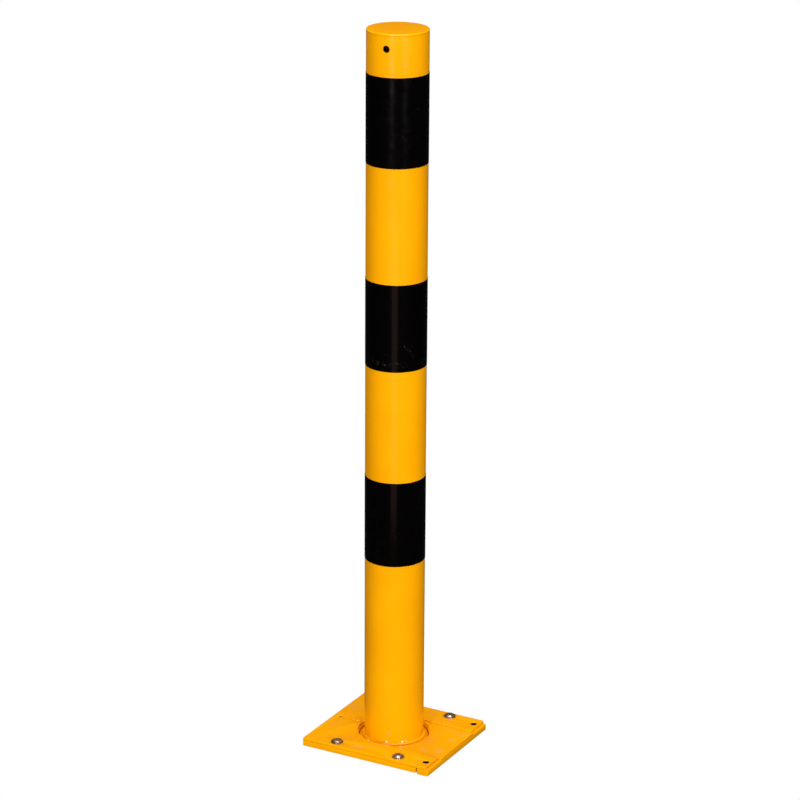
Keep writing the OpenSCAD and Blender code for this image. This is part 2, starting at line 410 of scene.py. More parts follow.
def circle_hole(radius: float, x: float = 0.0, y: float = 0.0, steps: int = 40) -> np.ndarray:
    """A round hole's outline, clockwise."""
    return arc(radius, 0, -360, steps, (x, y))[:-1]


def hexagon_radius(angle: np.ndarray, apothem: float) -> np.ndarray:
    """Distance from a hexagon's centre to its side, in the direction of each angle."""
    sixth = math.pi / 3
    return apothem / np.cos(np.mod(angle, sixth) - sixth / 2)


def stacked(rings: list[tuple[np.ndarray | float, float]], turns: int) -> np.ndarray:
    """Rings about Z, one above another, each with its own radius at every angle.

    Args:
        rings: pairs of radius, a number or one for each angle, and height.
        turns: points in a ring.

    Returns:
        A grid of points, shape (rings, turns, 3).
    """
    radius = np.array([np.broadcast_to(r, turns) for r, _ in rings])
    return rings_about_z(radius, np.array([[height] for _, height in rings]), turns)


def sector(outer: float, inner: float, start: float, end: float, low: float, high: float,
           edge: float) -> Shell:
    """A stretch of a ring, as a slab with rounded edges.

    Its outline is an arc of the outer radius and one of the inner radius, run back.

    Args:
        outer: outer radius.
        inner: inner radius.
        start: angle of its start, in degrees.
        end: angle of its end, in degrees.
        low: height of the lower face.
        high: height of the upper face.
        edge: radius of the rounded edges.

    Returns:
        The closed shell.
    """
    steps = max(6, int((end - start) / 3))
    loop = np.concatenate([arc(outer, start, end, steps), arc(inner, end, start, steps)])
    return slab(loop, [], low, high, edge)


def thread(radius: float, pitch: float, low: float, high: float, turns: int) -> np.ndarray:
    """A screw thread, which fades out over one pitch at both ends.

    The radius is (crest radius - depth) + depth * wave * fade, where the wave is a triangle
    in (height / pitch - angle / full turn) that runs from 1 down to 0 and back.

    Args:
        radius: over the crests.
        pitch: height of one turn.
        low: height of the lower end.
        high: height of the upper end.
        turns: points round the thread.

    Returns:
        A grid of points, shape (rows, turns, 3).
    """
    depth = 0.54 * pitch
    rows_per_pitch = 6
    z = np.linspace(low, high, max(4, int((high - low) / pitch * rows_per_pitch)))[:, None]
    wave = np.abs(2 * np.mod(z / pitch - around(turns)[None] / math.tau, 1) - 1)
    fade = np.clip(np.minimum(z - low, high - z) / pitch, 0, 1)
    return rings_about_z(radius - depth * (1 - wave * fade), z, turns)


@dataclass(frozen=True)
class DomedScrew:
    """A button-head screw with a hexagon socket, upright on the Z axis.

    Attributes:
        head: radius of the head.
        key: half the socket's width across its flats.
        key_depth: depth of the socket.
        thread: radius of the thread.
        pitch: pitch of the thread.
        turns: points round it.
    """

    head: float
    key: float
    key_depth: float
    thread: float
    pitch: float
    turns: int = 72

    def shell(self, tail: float, seat: float, top: float) -> Shell:
        """The screw's surface, from the shank's end up to the socket's floor.

        The head is rings of falling radius up a circular dome, whose own radius is
        (head^2 + rise^2) / (2 rise). The dome ends at a flat land, and inside that the rings
        are the socket's hexagon. The shank is a thread.

        Args:
            tail: height of the shank's end.
            seat: height of the head's underside.
            top: height of the head's top.

        Returns:
            The screw's closed shell.
        """
        socket = hexagon_radius(around(self.turns), self.key)
        lip = 0.12 * self.key
        height = top - seat
        rise = top - (seat + 0.3 * height)
        dome = (self.head**2 + rise**2) / (2 * rise)
        radii = np.linspace(self.head, self.key * 1.35, 9)
        crown = [(r, top - dome + math.sqrt(dome**2 - r**2)) for r in radii]
        land = crown[-1][1]
        floor = top - self.key_depth
        head = stacked(
            [(self.head * 0.96, seat), (self.head, seat + 0.05 * height), *crown,
             (socket + lip, land), (socket, land - lip), (socket, floor),
             (socket * 0.5, floor - 0.2 * MM), (0.0, floor - 0.3 * MM)], self.turns)
        shank = thread(self.thread, self.pitch, tail, seat - 0.2 * MM, self.turns)
        end = stacked([(0.0, tail), (self.thread * 0.7, tail)], self.turns)
        return Shell().grid(np.concatenate([end, shank, head]))


def hexagon_nut(half_flat: float, bore: float, low: float, high: float) -> Shell:
    """A nut: six sides, corners cut by a cone at each end, and a plain chamfered bore.

    Args:
        half_flat: half the width across the flats.
        bore: radius of the bore.
        low: height of the lower face.
        high: height of the upper face.

    Returns:
        The nut's closed shell.
    """
    turns = 72
    side = hexagon_radius(around(turns), half_flat)
    cone = np.minimum(side, half_flat * 1.03)
    face, bevel, drop, chamfer = cone * 0.97, 0.2 * MM, 0.9 * MM, 0.5 * MM
    rings = [(bore + chamfer, low), (face, low), (cone, low + bevel), (side, low + drop),
             (side, high - drop), (cone, high - bevel), (face, high), (bore + chamfer, high),
             (bore, high - chamfer), (bore, low + chamfer)]
    return Shell().grid(stacked(rings, turns), wrap_rows=True)


def bead(path: np.ndarray, legs: tuple[np.ndarray, np.ndarray], size: float, closed: bool) -> Shell:
    """A fillet weld along a path: a fat triangle whose face swells in ripples.

    The section's points are path + size * swell * (cos t * leg a + sin t * leg b), with t
    round the section. Swell rises and falls once for each ripple along the path, wavers
    slowly, and sinks at open ends.

    Args:
        path: the corner that the weld fills, shape (n, 3).
        legs: directions of the two plates it lies on, each of shape (n, 3).
        size: length of a leg.
        closed: whether the path's end meets its start.

    Returns:
        The bead's closed shell.
    """
    step = np.linalg.norm(np.diff(path, axis=0, append=path[:1]), axis=1)
    along = np.concatenate([[0], np.cumsum(step)[:-1]])
    total = along[-1] + step[-1] if closed else along[-1]
    phase = np.mod(along / total * max(1, round(total / RIPPLE)), 1)
    swell = 0.86 + 0.16 * np.sin(math.pi * phase) + 0.05 * np.sin(along / total * 41)
    if not closed:
        ends = np.minimum(along, total - along) / size
        swell = swell * np.sqrt(np.clip(ends, 0.05, 1))
    # The points beyond 0 and 90 degrees lie inside the plates, so that the weld meets them.
    t = np.radians([-35, 0, 22, 45, 68, 90, 125, 225])
    reach = np.array([0.35, 1.0, 0.93, 0.9, 0.93, 1.0, 0.35, 0.3]) * size
    a = (reach * np.cos(t))[:, None, None] * legs[0][None]
    b = (reach * np.sin(t))[:, None, None] * legs[1][None]
    points = path[None] + swell[None, :, None] * (a + b)
    shell = Shell().grid(points, wrap_rows=True, wrap_cols=closed)
    if not closed:
        for end in (0, -1):
            rim = points[:, end]
            shell.grid(np.stack([rim, np.broadcast_to(rim.mean(axis=0), rim.shape)]))
    return shell


def ring_bead(radius: float, height: float, size: float, up: int) -> Shell:
    """A weld all the way round the outside of a tube: a bead along a circle.

    Args:
        radius: radius of the tube.
        height: height of the corner that it fills.
        size: length of a leg.
        up: +1 where it lies above the corner, -1 below it.

    Returns:
        The bead's closed shell.
    """
    a = around(240)
    spoke = np.stack([np.cos(a), np.sin(a), np.zeros_like(a)], axis=1)
    path = spoke * radius + [0, 0, height]
    return bead(path, (spoke, np.broadcast_to([0.0, 0.0, float(up)], spoke.shape)), size, closed=True)


# ---------------------------------------------------------------- finishes


def linear(hex_colour: str) -> tuple[float, float, float, float]:
    """The linear colour of an sRGB one.

    Args:
        hex_colour: such as #F79A00.

    Returns:
        Red, green, blue and full alpha.
    """
    srgb = np.array([int(hex_colour[i : i + 2], 16) for i in (1, 3, 5)]) / 255
    low = srgb / 12.92
    high = ((srgb + 0.055) / 1.055) ** 2.4
    r, g, b = np.where(srgb <= 0.04045, low, high)
    return float(r), float(g), float(b), 1.0


def add(tree: bpy.types.NodeTree, kind: str, inputs: dict[Any, Any], **settings: Any) -> Any:
    """Adds a node with its settings, values and links.

    Args:
        tree: the material's or the world's nodes.
        kind: the node's type, without "ShaderNode".
        inputs: socket name or number to a value, or to another node's output to link.
        **settings: the node's own properties.

    Returns:
        The node.
    """
    node = tree.nodes.new(f"ShaderNode{kind}")
    for name, value in settings.items():
        setattr(node, name, value)
    for key, value in inputs.items():
        if isinstance(value, bpy.types.NodeSocket):
            tree.links.new(value, node.inputs[key])
        else:
            node.inputs[key].default_value = value
    return node


def per_mm(size: float) -> float:
    """A texture's scale, in repeats a metre, for features of this many millimetres."""
    return 1 / (size * MM)


@dataclass(frozen=True)
class Spot:
    """A place on the surface, in millimetres in the frame's axes, and its radius."""

    x: float
    y: float
    z: float
    radius: float


class Finish:
    """A material that is being made: its tree, its shader and its Object coordinates."""

    def __init__(self, name: str) -> None:
        """Starts a material with a Principled shader and nothing else.

        Args:
            name: the material's name.
        """
        self.material = bpy.data.materials.new(name)
        self.material.use_nodes = True
        self.tree = self.material.node_tree
        self.shader = self.tree.nodes["Principled BSDF"]
        self.place = add(self.tree, "TexCoord", {}).outputs["Object"]

    def noise(self, size: float, detail: float = 2, rough: float = 0.5, twist: float = 0) -> Any:
        """Smooth random blotches of a size in millimetres, from 0 to 1."""
        inputs = {"Vector": self.place, "Scale": per_mm(size), "Detail": detail,
                  "Roughness": rough, "Distortion": twist}
        return add(self.tree, "TexNoise", inputs).outputs[0]

    def remap(self, value: Any, low: float, high: float, to_low: float, to_high: float) -> Any:
        """A value carried from one range to another, and held inside it."""
        inputs = {"Value": value, "From Min": low, "From Max": high, "To Min": to_low,
                  "To Max": to_high}
        return add(self.tree, "MapRange", inputs).outputs[0]

    def mix(self, share: Any, first: Any, second: Any) -> Any:
        """The first colour, turning into the second as the share goes from 0 to 1."""
        return add(self.tree, "Mix", {0: share, 6: first, 7: second}, data_type="RGBA").outputs[2]

    def math(self, operation: str, first: Any, second: Any = 0.0) -> Any:
        """What an operation makes of one or two values."""
        return add(self.tree, "Math", {0: first, 1: second}, operation=operation).outputs[0]

    def height(self) -> Any:
        """Height in the frame's axes, in metres."""
        return add(self.tree, "SeparateXYZ", {0: self.place}).outputs["Z"]

    def upward(self) -> Any:
        """1 on faces that look up, 0 on the others."""
        normal = add(self.tree, "NewGeometry", {}).outputs["Normal"]
        z = add(self.tree, "SeparateXYZ", {0: normal}).outputs["Z"]
        return self.remap(z, 0.75, 0.97, 0, 1)

    def spots(self, places: tuple[Spot, ...], grain: float, soft: float) -> Any:
        """Ragged spots: 1 in their middles, and 0 outside their radii.

        Args:
            places: the spots.
            grain: size of the raggedness in millimetres.
            soft: share of the radius over which a spot fades.

        Returns:
            Inside the radii, (1 - distance / radius + noise) / soft, held from 0 to 1.
        """
        ragged = self.remap(self.noise(grain, 4, 0.75), 0.36, 0.64, -0.8, 0.5)
        total: Any = 0.0
        for spot in places:
            inputs = {0: self.place, 1: (spot.x * MM, spot.y * MM, spot.z * MM)}
            away = add(self.tree, "VectorMath", inputs, operation="DISTANCE").outputs["Value"]
            share = self.remap(away, 0, spot.radius * MM, 1, 0)
            total = self.math("MAXIMUM", total, share)
        inside = self.math("GREATER_THAN", total, 0.001)
        lump = self.remap(self.math("ADD", total, ragged), 0, soft, 0, 1)
        return self.math("MULTIPLY", lump, inside)

    def bump(self, value: Any, depth: float, under: Any = None) -> Any:
        """A surface that rises with a value.

        Args:
            value: the height, from 0 to 1.
            depth: the rise from 0 to 1, in millimetres.
            under: another bumped surface that it lies on, or None.

        Returns:
            The bent normal.
        """
        inputs = {"Height": value, "Distance": depth * MM, "Strength": 1.0}
        if under is not None:
            inputs["Normal"] = under
        return add(self.tree, "Bump", inputs).outputs[0]

    def wear(self, **inputs: Any) -> bpy.types.Material:
        """Sets the shader's sockets.

        Args:
            **inputs: socket names, with underscores for spaces, to values or outputs.

        Returns:
            The material.
        """
        for name, value in inputs.items():
            socket = self.shader.inputs[name.replace("_", " ")]
            if isinstance(value, bpy.types.NodeSocket):
                self.tree.links.new(value, socket)
            else:
                socket.default_value = value
        return self.material


@dataclass(frozen=True)
class PowderCoat:
    """Polyester powder coat, sprayed and baked on steel: a thick, even, semi-gloss skin.

    It gives the eye a faint orange peel, slow changes of tone, tan dust where it lies flat and
    small chipped spots down to the pale primer; on the plate some dull spots are painted shade
    and one pale spot is a painted highlight.

    Attributes:
        name: the material's name.
        colour: the paint's colour.
        deep: its deeper tone, in slow patches.
        dust: how much of the flat tops is dusty, from 0 to 1.
        scuffs: places where dust and rubbing have dulled it, and on the plate spots of painted shade.
        chips_and_highlight: places where it has chipped, and on the plate one pale spot that is a
            painted highlight.
    """

    name: str = "powder_coat_yellow"
    colour: str = "#F3A300"
    deep: str = "#ED9C00"
    dust: float = 0.0
    scuffs: tuple[Spot, ...] = ()
    chips_and_highlight: tuple[Spot, ...] = ()

    def material(self) -> bpy.types.Material:
        """Makes the material.

        Returns:
            The finished material.
        """
        f = Finish(self.name)
        tone = f.remap(f.noise(70, 3), 0.35, 0.65, 0, 1)
        paint = f.mix(tone, linear(self.colour), linear(self.deep))
        rough = f.remap(f.noise(14, 4), 0.3, 0.7, 0.15, 0.22)
        # The peel's real waves are about 1 mm; they are drawn at 2.6 mm so that they show.
        peel = f.bump(f.noise(2.6, 2), 0.05)
        film: Any = 0.0
        if self.dust:
            patches = f.remap(f.noise(16, 7, 0.72, 0.8), 0.50, 0.68, 0, self.dust)
            film = f.math("MULTIPLY", patches, f.upward())
        if self.scuffs:
            # Dull tan spots: rubbed paint, and on the plate also painted shade.
            rubbed_and_shaded = f.math("MULTIPLY", f.spots(self.scuffs, 3.0, 1.0), 0.45)
            film = f.math("MAXIMUM", film, rubbed_and_shaded)
        # The tan of dust and rubbing, which on the plate's shaded spots is painted shade.
        if self.dust or self.scuffs:
            paint = f.mix(film, paint, linear("#BC9A5E"))
            rough = f.math("ADD", rough, f.math("MULTIPLY", film, 0.35))
        if self.chips_and_highlight:
            # Pale spots: paint chipped down to the primer, and on the plate one painted highlight at
            # the opening's edge.
            chip_and_highlight = f.spots(self.chips_and_highlight, 1.2, 0.15)
            paint = f.mix(chip_and_highlight, paint, linear("#F4EEE6"))
            rough = f.math("ADD", rough, f.math("MULTIPLY", chip_and_highlight, 0.3))
            peel = f.bump(f.math("SUBTRACT", 1.0, chip_and_highlight), 0.12, peel)
        return f.wear(
            Base_Color=paint, Roughness=rough, Normal=peel, IOR=1.5, Specular_IOR_Level=0.16
        )


@dataclass(frozen=True)
class AdhesiveFilm:
    """Black calendered vinyl film, stuck round the tube: smooth and glossy.

    It gives the eye a near black with long soft streaks of light and hairline scratches.

    Attributes:
        name: the material's name.
        scuffs: how strong the scratches are, from 0 to 1.
        scuff_band: heights in metres between which it is scratched most.
    """

    name: str = "vinyl_film_black"
    scuffs: float = 0.4
    scuff_band: tuple[float, float] = (0.0, 1.0)

    def material(self) -> bpy.types.Material:
        """Makes the material.

        Returns:
            The finished material.
        """
        f = Finish(self.name)
        # A scratch is the thin line where a twisted noise passes its middle value.
        lines = f.math("ABSOLUTE", f.math("SUBTRACT", f.noise(26, 2, 0.5, 2.4), 0.5))
        hair = f.remap(lines, 0.0, 0.006, 1, 0)
        patch = f.remap(f.noise(18, 3), 0.50, 0.62, 0, 1)
        low, high = self.scuff_band
        z = f.height()
        band = f.math("MULTIPLY", f.math("GREATER_THAN", z, low), f.math("LESS_THAN", z, high))
        mark = f.math("MULTIPLY", f.math("MULTIPLY", hair, patch), band)
        mark = f.math("MULTIPLY", mark, self.scuffs)
        colour = f.mix(mark, linear("#030202"), linear("#8A6F5C"))
        rough = f.remap(f.noise(9, 4), 0.3, 0.7, 0.13, 0.19)
        rough = f.math("ADD", rough, f.math("MULTIPLY", mark, 0.4))
        waves = f.bump(f.noise(16, 1), 0.04)
        return f.wear(
            Base_Color=colour, Roughness=rough, Normal=waves, IOR=1.45, Specular_IOR_Level=0.12
        )


@dataclass(frozen=True)
class Galvanised:
    """Hot-dip galvanised mild steel: zinc crystals of about 9 mm, each a little different.

    It gives the eye a patchwork of light and dark greys that has dulled in the air.

    Attributes:
        name: the material's name.
    """

    name: str = "hot_dip_galvanised_steel"

    def material(self) -> bpy.types.Material:
        """Makes the material.

        Returns:
            The finished material.
        """
        f = Finish(self.name)
        cells = add(f.tree, "TexVoronoi", {"Vector": f.place, "Scale": per_mm(9)})
        grain = add(f.tree, "SeparateColor", {0: cells.outputs["Color"]}).outputs[0]
        cloud = f.noise(45, 4)
        share = f.math("ADD", f.math("MULTIPLY", grain, 0.55), f.math("MULTIPLY", cloud, 0.45))
        colour = f.mix(f.remap(share, 0.2, 0.8, 0, 1), linear("#8E9395"), linear("#B4B9BA"))
        rough = f.remap(grain, 0, 1, 0.42, 0.60)
        bumps = f.bump(f.noise(6, 3), 0.05)
        return f.wear(Base_Color=colour, Metallic=0.35, Roughness=rough, Normal=bumps)


@dataclass(frozen=True)
class BareMetal:
    """A turned or cold-headed screw metal, bare or blackened.

    It gives the eye fine tool marks, a soft shine and some grime.

    Attributes:
        name: the material's name.
        colour: the metal's colour.
        grime: the colour of the dirt on it.
        dirt: how much dirt there is, from 0 to 1.
        metallic: how metallic it is.
        rough: its roughness.
    """

    name: str
    colour: str
    grime: str
    dirt: float
    metallic: float
    rough: float

    def material(self) -> bpy.types.Material:
        """Makes the material.

        Returns:
            The finished material.
        """
        f = Finish(self.name)
        patches = f.remap(f.noise(3.5, 5, 0.65), 0.40, 0.66, 0, self.dirt)
        colour = f.mix(patches, linear(self.colour), linear(self.grime))
        rough = f.math("ADD", f.math("MULTIPLY", patches, 0.3), self.rough)
        marks = f.bump(f.noise(0.8, 3), 0.02)
        return f.wear(Base_Color=colour, Metallic=self.metallic, Roughness=rough, Normal=marks)


@dataclass(frozen=True)
class Rubber:
    """Moulded black rubber: matt, with a fine bloom that greys it in patches.

    Attributes:
        name: the material's name.
    """

    name: str = "moulded_rubber_black"

    def material(self) -> bpy.types.Material:
        """Makes the material.

        Returns:
            The finished material.
        """
        f = Finish(self.name)
        bloom = f.remap(f.noise(11, 5), 0.45, 0.75, 0, 1)
        colour = f.mix(bloom, linear("#1B1A19"), linear("#2E2D2B"))
        grain = f.bump(f.noise(1.1, 3), 0.06)
        return f.wear(Base_Color=colour, Roughness=0.78, Normal=grain, IOR=1.52)


@dataclass(frozen=True)
class TurnedNylon:
    """Cast nylon turned on a lathe: milky, with fine grooves round it.

    Attributes:
        name: the material's name.
    """

    name: str = "turned_nylon_white"

    def material(self) -> bpy.types.Material:
        """Makes the material.

        Returns:
            The finished material.
        """
        f = Finish(self.name)
        # The tool's feed is about 0.3 mm; the grooves are drawn at 1.2 mm so that they show.
        feed = add(f.tree, "TexWave", {"Vector": f.place, "Scale": per_mm(1.2) / 20},
                   bands_direction="Z", wave_profile="SIN").outputs[1]
        stain = f.remap(f.noise(20, 5), 0.5, 0.8, 0, 0.5)
        colour = f.mix(stain, linear("#E6E2D4"), linear("#B7AD98"))
        grooves = f.bump(feed, 0.05)
        return f.wear(Base_Color=colour, Roughness=0.45, Normal=grooves, IOR=1.53)


@dataclass
class Finishes:
    """Every finish of the bollard, made once.

    Attributes:
        post_yellow: the paint of the post.
        plate_yellow: the paint of the two plates.
        slide_yellow: the paint of the slide.
        film: the film of each band, by the band's name.
        zinc: the steel in the ground and in the post's foot.
        stainless: the plate screws and their washers.
        oxide: the clamp screws and the pin.
        rubber: the buffer.
        nylon: the guide shoe.
    """

    post_yellow: bpy.types.Material = field(init=False)
    plate_yellow: bpy.types.Material = field(init=False)
    slide_yellow: bpy.types.Material = field(init=False)
    film: dict[str, bpy.types.Material] = field(init=False)
    zinc: bpy.types.Material = field(init=False)
    stainless: bpy.types.Material = field(init=False)
    oxide: bpy.types.Material = field(init=False)
    rubber: bpy.types.Material = field(init=False)
    nylon: bpy.types.Material = field(init=False)

    def __post_init__(self) -> None:
        """Makes the materials."""
        self.post_yellow = PowderCoat(
            "powder_coat_post",
            scuffs=(Spot(13, -36, 22, 4),),
            chips_and_highlight=(Spot(10, -37, 10.5, 1.4), Spot(27, -27, 10.5, 1.5), Spot(30, -23, 11, 1.1)),
        ).material()
        self.plate_yellow = PowderCoat(
            "powder_coat_plate",
            dust=0.12,
            # The spots at (36, -38) and (42, -36), in front of the post's foot, and at (-79, 36) are
            # painted shade: dull darker patches where the plate lies in shade.
            scuffs=(Spot(-14, -69, 11, 8), Spot(36, -38, 11, 6), Spot(42, -36, 11, 7),
                    Spot(-79, 36, 11, 9)),
            # This pale spot at the front-left edge of the opening is a painted highlight.
            chips_and_highlight=(Spot(-12, -45, 11, 1.6),),
        ).material()
        self.slide_yellow = PowderCoat(
            "powder_coat_slide",
            dust=0.2,
            scuffs=(Spot(79, -25, 9, 9), Spot(79, 11, 9, 6), Spot(78, 27, 9, 5),
                    Spot(84, 31, 7, 6), Spot(60, -30, 9, 7)),
        ).material()
        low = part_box("black_band_middle")[0].z
        self.film = {
            "upper": AdhesiveFilm("vinyl_film_upper", 0.04).material(),
            "middle": AdhesiveFilm(
                "vinyl_film_middle", 0.5, (low + 6 * MM, low + 34 * MM)
            ).material(),
            "lower": AdhesiveFilm("vinyl_film_lower", 0.05).material(),
        }
        self.zinc = Galvanised().material()
        self.stainless = BareMetal(
            "stainless_steel_cold_headed", "#B39A7E", "#5A4632", 0.9, 0.75, 0.20
        ).material()
        self.oxide = BareMetal(
            "black_oxide_steel", "#3A3836", "#141312", 0.6, 0.7, 0.38
        ).material()
        self.rubber = Rubber().material()
        self.nylon = TurnedNylon().material()


# ---------------------------------------------------------------- the bollard


@dataclass
class Post:
    """The moving post: tube, head, bands, collar and what is fixed in its foot.

    Attributes:
        finishes: the bollard's finishes.
        turns: points round the tube.
        radius: outer radius of the tube.
        wall: thickness of the tube.
        bolt_radius: radius of the bolt that holds the guide shoe.
        fit: play between the tube and the pieces that sit on it or in it.
        head_round: radius of the head's rim.
        crown: rise of the head's middle above its rim.
        seam: chamfer on both sides of the joint between head and tube.
        hole_radius: radius of the lifting hole.
        hole_drop: from the head's top down to the lifting hole's axis.
        hole_turn: degrees from the front (-Y) to the lifting hole, towards the slide (+X).
        hole_lip: radius of the rounding at the lifting hole's mouths.
        hole_border: least width of the patch between the hole and the tube's grid.
        glue: from the tube to the film.
        film: thickness of the film.
        film_edge: chamfer of the film's edges.
        lap: half the film's overlap, in degrees round the tube.
        collar_cut: chamfer of the collar.
        collar_weld: leg of the collar's welds.
        lug_half: half of a lug, in degrees round the tube.
        lug_edge: radius of the lugs' edges.
    """

    finishes: Finishes
    turns: int = 160
    radius: float = 38.05 * MM
    wall: float = 2.9 * MM
    bolt_radius: float = 6.0 * MM
    fit: float = 0.1 * MM
    head_round: float = 1.7 * MM
    crown: float = 0.35 * MM
    seam: float = 0.55 * MM
    hole_radius: float = 4.5 * MM
    hole_drop: float = 19.0 * MM
    hole_turn: float = 7.0
    hole_lip: float = 0.5 * MM
    hole_border: float = 2.5 * MM
    glue: float = 0.02 * MM
    film: float = 0.3 * MM
    film_edge: float = 0.1 * MM
    lap: float = 9.0
    collar_cut: float = 1.5 * MM
    collar_weld: float = 3.4 * MM
    lug_half: float = 14.0
    lug_edge: float = 1.0 * MM

    def build(self) -> None:
        """Builds every piece of the post."""
        self._tube()
        self._head()
        for name in ("upper", "middle", "lower"):
            self._band(name)
        self._collar()
        self._lugs()
        self._plug()
        self._bolt()

    def _painted(self, name: str, shell: Shell, *nodes: str, crease: float = 35.0) -> None:
        """Makes a painted piece of the post."""
        Piece(name, Body.POST, Slot.YELLOW, nodes).make(shell, self.finishes.post_yellow, crease)

    def _zinc(self, name: str, shell: Shell, *nodes: str) -> None:
        """Makes a galvanised piece of the post."""
        Piece(name, Body.POST, Slot.ZINC, nodes).make(shell, self.finishes.zinc)

    def _tube(self) -> None:
        """The tube, drilled through near its head.

        The wall is a closed profile, up the outside and down the inside, turned about the
        axis that the drill crosses. Around each mouth of the drilled hole a square of the
        grid is left out, and a patch whose rings blend from the square to the circle fills
        it. The hole's own wall joins the outer circles to the inner ones.
        """
        low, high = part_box("post_tube")
        hole_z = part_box("head_cap")[1].z - self.hole_drop
        cell = math.tau * self.radius / self.turns
        half = math.ceil((self.hole_radius + self.hole_border) / cell)
        near = hole_z + np.linspace(-half * cell, half * cell, 2 * half + 1)
        tips = np.array([low.z + self.seam, high.z - self.seam])
        plain = np.linspace(tips[0], near[0], 40)[:-1]
        outer_z = np.concatenate([plain, near, tips[1:]])
        inner = self.radius - self.wall
        outside = np.stack([np.full_like(outer_z, self.radius), outer_z], axis=1)
        inside = np.stack([np.full_like(outer_z, inner), outer_z[::-1]], axis=1)
        top = np.array([[self.radius - self.seam, high.z], [inner + self.seam, high.z]])
        foot = np.array([[inner + self.seam, low.z], [self.radius - self.seam, low.z]])
        profile = np.concatenate([outside, top, inside, foot])
        start = math.radians(self.hole_turn - 90)
        points = revolve(profile, self.turns) @ np.array(Matrix.Rotation(-start, 3, "Z"))
        keep = np.ones((len(profile), self.turns), bool)
        first = len(plain)
        # The inside runs down, so its rows beside the hole are counted from its far end.
        first_inside = len(outside) + len(top) + (len(outer_z) - 1 - (first + 2 * half))
        columns = np.arange(-half, half)
        for middle in (0, self.turns // 2):
            for row in (first, first_inside):
                rows = np.arange(row, row + 2 * half)
                keep[np.ix_(rows, (columns + middle) % self.turns)] = False
        shell = Shell().grid(points, wrap_rows=True, keep=keep)
        for side in (0, math.pi):
            shell.join(self._mouth(start + side, hole_z, near, half))
        self._painted("post_tube_skin", shell, "post_tube")

    def _mouth(self, heading: float, hole_z: float, near: np.ndarray, half: int) -> Shell:
        """One mouth of the drilled hole: patches on both faces of the wall, and its bore.

        On a cylinder of radius r the circle's point (a, b), a across and b up, lies at the
        angle asin(a / r) from the drill's heading.

        Args:
            heading: direction of the drill's axis, in radians.
            hole_z: height of the drill's axis.
            near: heights of the grid rows beside the hole.
            half: half the number of cells that were left out.

        Returns:
            The shell of patches and bore, with its mouth towards the heading.
        """
        side = np.arange(-half, half)
        across = np.concatenate([side, np.full(2 * half, half), -side, np.full(2 * half, -half)])
        up = np.concatenate([np.full(2 * half, -half), side, np.full(2 * half, half), -side])
        square = np.stack([across * (math.tau / self.turns), near[up + half] - hole_z], axis=1)
        phi = np.arctan2(square[:, 1], square[:, 0] * self.radius)

        def on_wall(angle: np.ndarray, height: np.ndarray, r: float) -> np.ndarray:
            """Points at an angle from the heading, on a cylinder of radius r."""
            x, y = r * np.cos(heading + angle), r * np.sin(heading + angle)
            return np.stack([x, y, height + hole_z], axis=-1)

        def circle(size: float, r: float) -> tuple[np.ndarray, np.ndarray]:
            """The drill's circle of a size, as angle and height on a cylinder of radius r."""
            return np.arcsin(size * np.cos(phi) / r), size * np.sin(phi)

        shell = Shell()
        inner = self.radius - self.wall
        blend = np.linspace(0, 1, 6)[:, None]
        for r, size in ((self.radius, self.hole_radius + self.hole_lip), (inner, self.hole_radius)):
            angle, height = circle(size, r)
            angles = (1 - blend) * angle + blend * square[:, 0]
            heights = (1 - blend) * height + blend * square[:, 1]
            shell.grid(on_wall(angles, heights, r))
        turn = np.radians(np.linspace(0, 90, 4))
        sizes = [*(self.hole_radius + self.hole_lip * (1 - np.sin(turn))), self.hole_radius]
        depths = [*(self.radius - self.hole_lip * (1 - np.cos(turn))), inner]
        bore = [on_wall(*circle(size, r), r) for size, r in zip(sizes, depths)]
        return shell.grid(np.array(bore))

    def _head(self) -> None:
        """The disc that closes the tube: a rounded rim above, and below it a thin seam.

        Inside the rim its height falls by crown * (distance from the axis / radius)^2.
        """
        low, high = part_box("head_cap")
        rim_r, rim_z = self.radius - self.head_round, high.z - self.head_round
        rim = arc(self.head_round, 0, 84, 8, (rim_r, rim_z)) - [0, self.crown * 0.9]
        r = np.linspace(self.radius - self.head_round * 1.6, 0, 14)
        dome = np.stack([r, high.z - self.crown * (r / self.radius) ** 2], axis=1)
        foot = np.array([[0, low.z], [self.radius - self.seam, low.z],
                         [self.radius, low.z + self.seam]])
        shell = solid_shell(np.concatenate([foot, rim, dome]), self.turns)
        self._painted("head_cap_skin", shell, "head_cap", crease=50)

    def _band(self, name: str) -> None:
        """A band of film, whose end overlaps its start at the back.

        The film is half as thick again over the lap, with a short step at each side of it.

        Args:
            name: which band, upper, middle or lower.
        """
        node = f"black_band_{name}"
        low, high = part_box(node)
        turns = 2 * self.turns
        inner, soft = self.radius + self.glue, self.film_edge
        lap = np.degrees(np.abs(around(turns) - math.pi / 2)) < self.lap
        outer = inner + self.film * np.where(lap, 1.5, 1.0)
        rings = [(inner, low.z), (outer - soft, low.z), (outer, low.z + soft),
                 (outer, high.z - soft), (outer - soft, high.z), (inner, high.z)]
        shell = Shell().grid(stacked(rings, turns), wrap_rows=True)
        Piece(f"{node}_film", Body.POST, Slot.FILM, (node,)).make(shell, self.finishes.film[name])

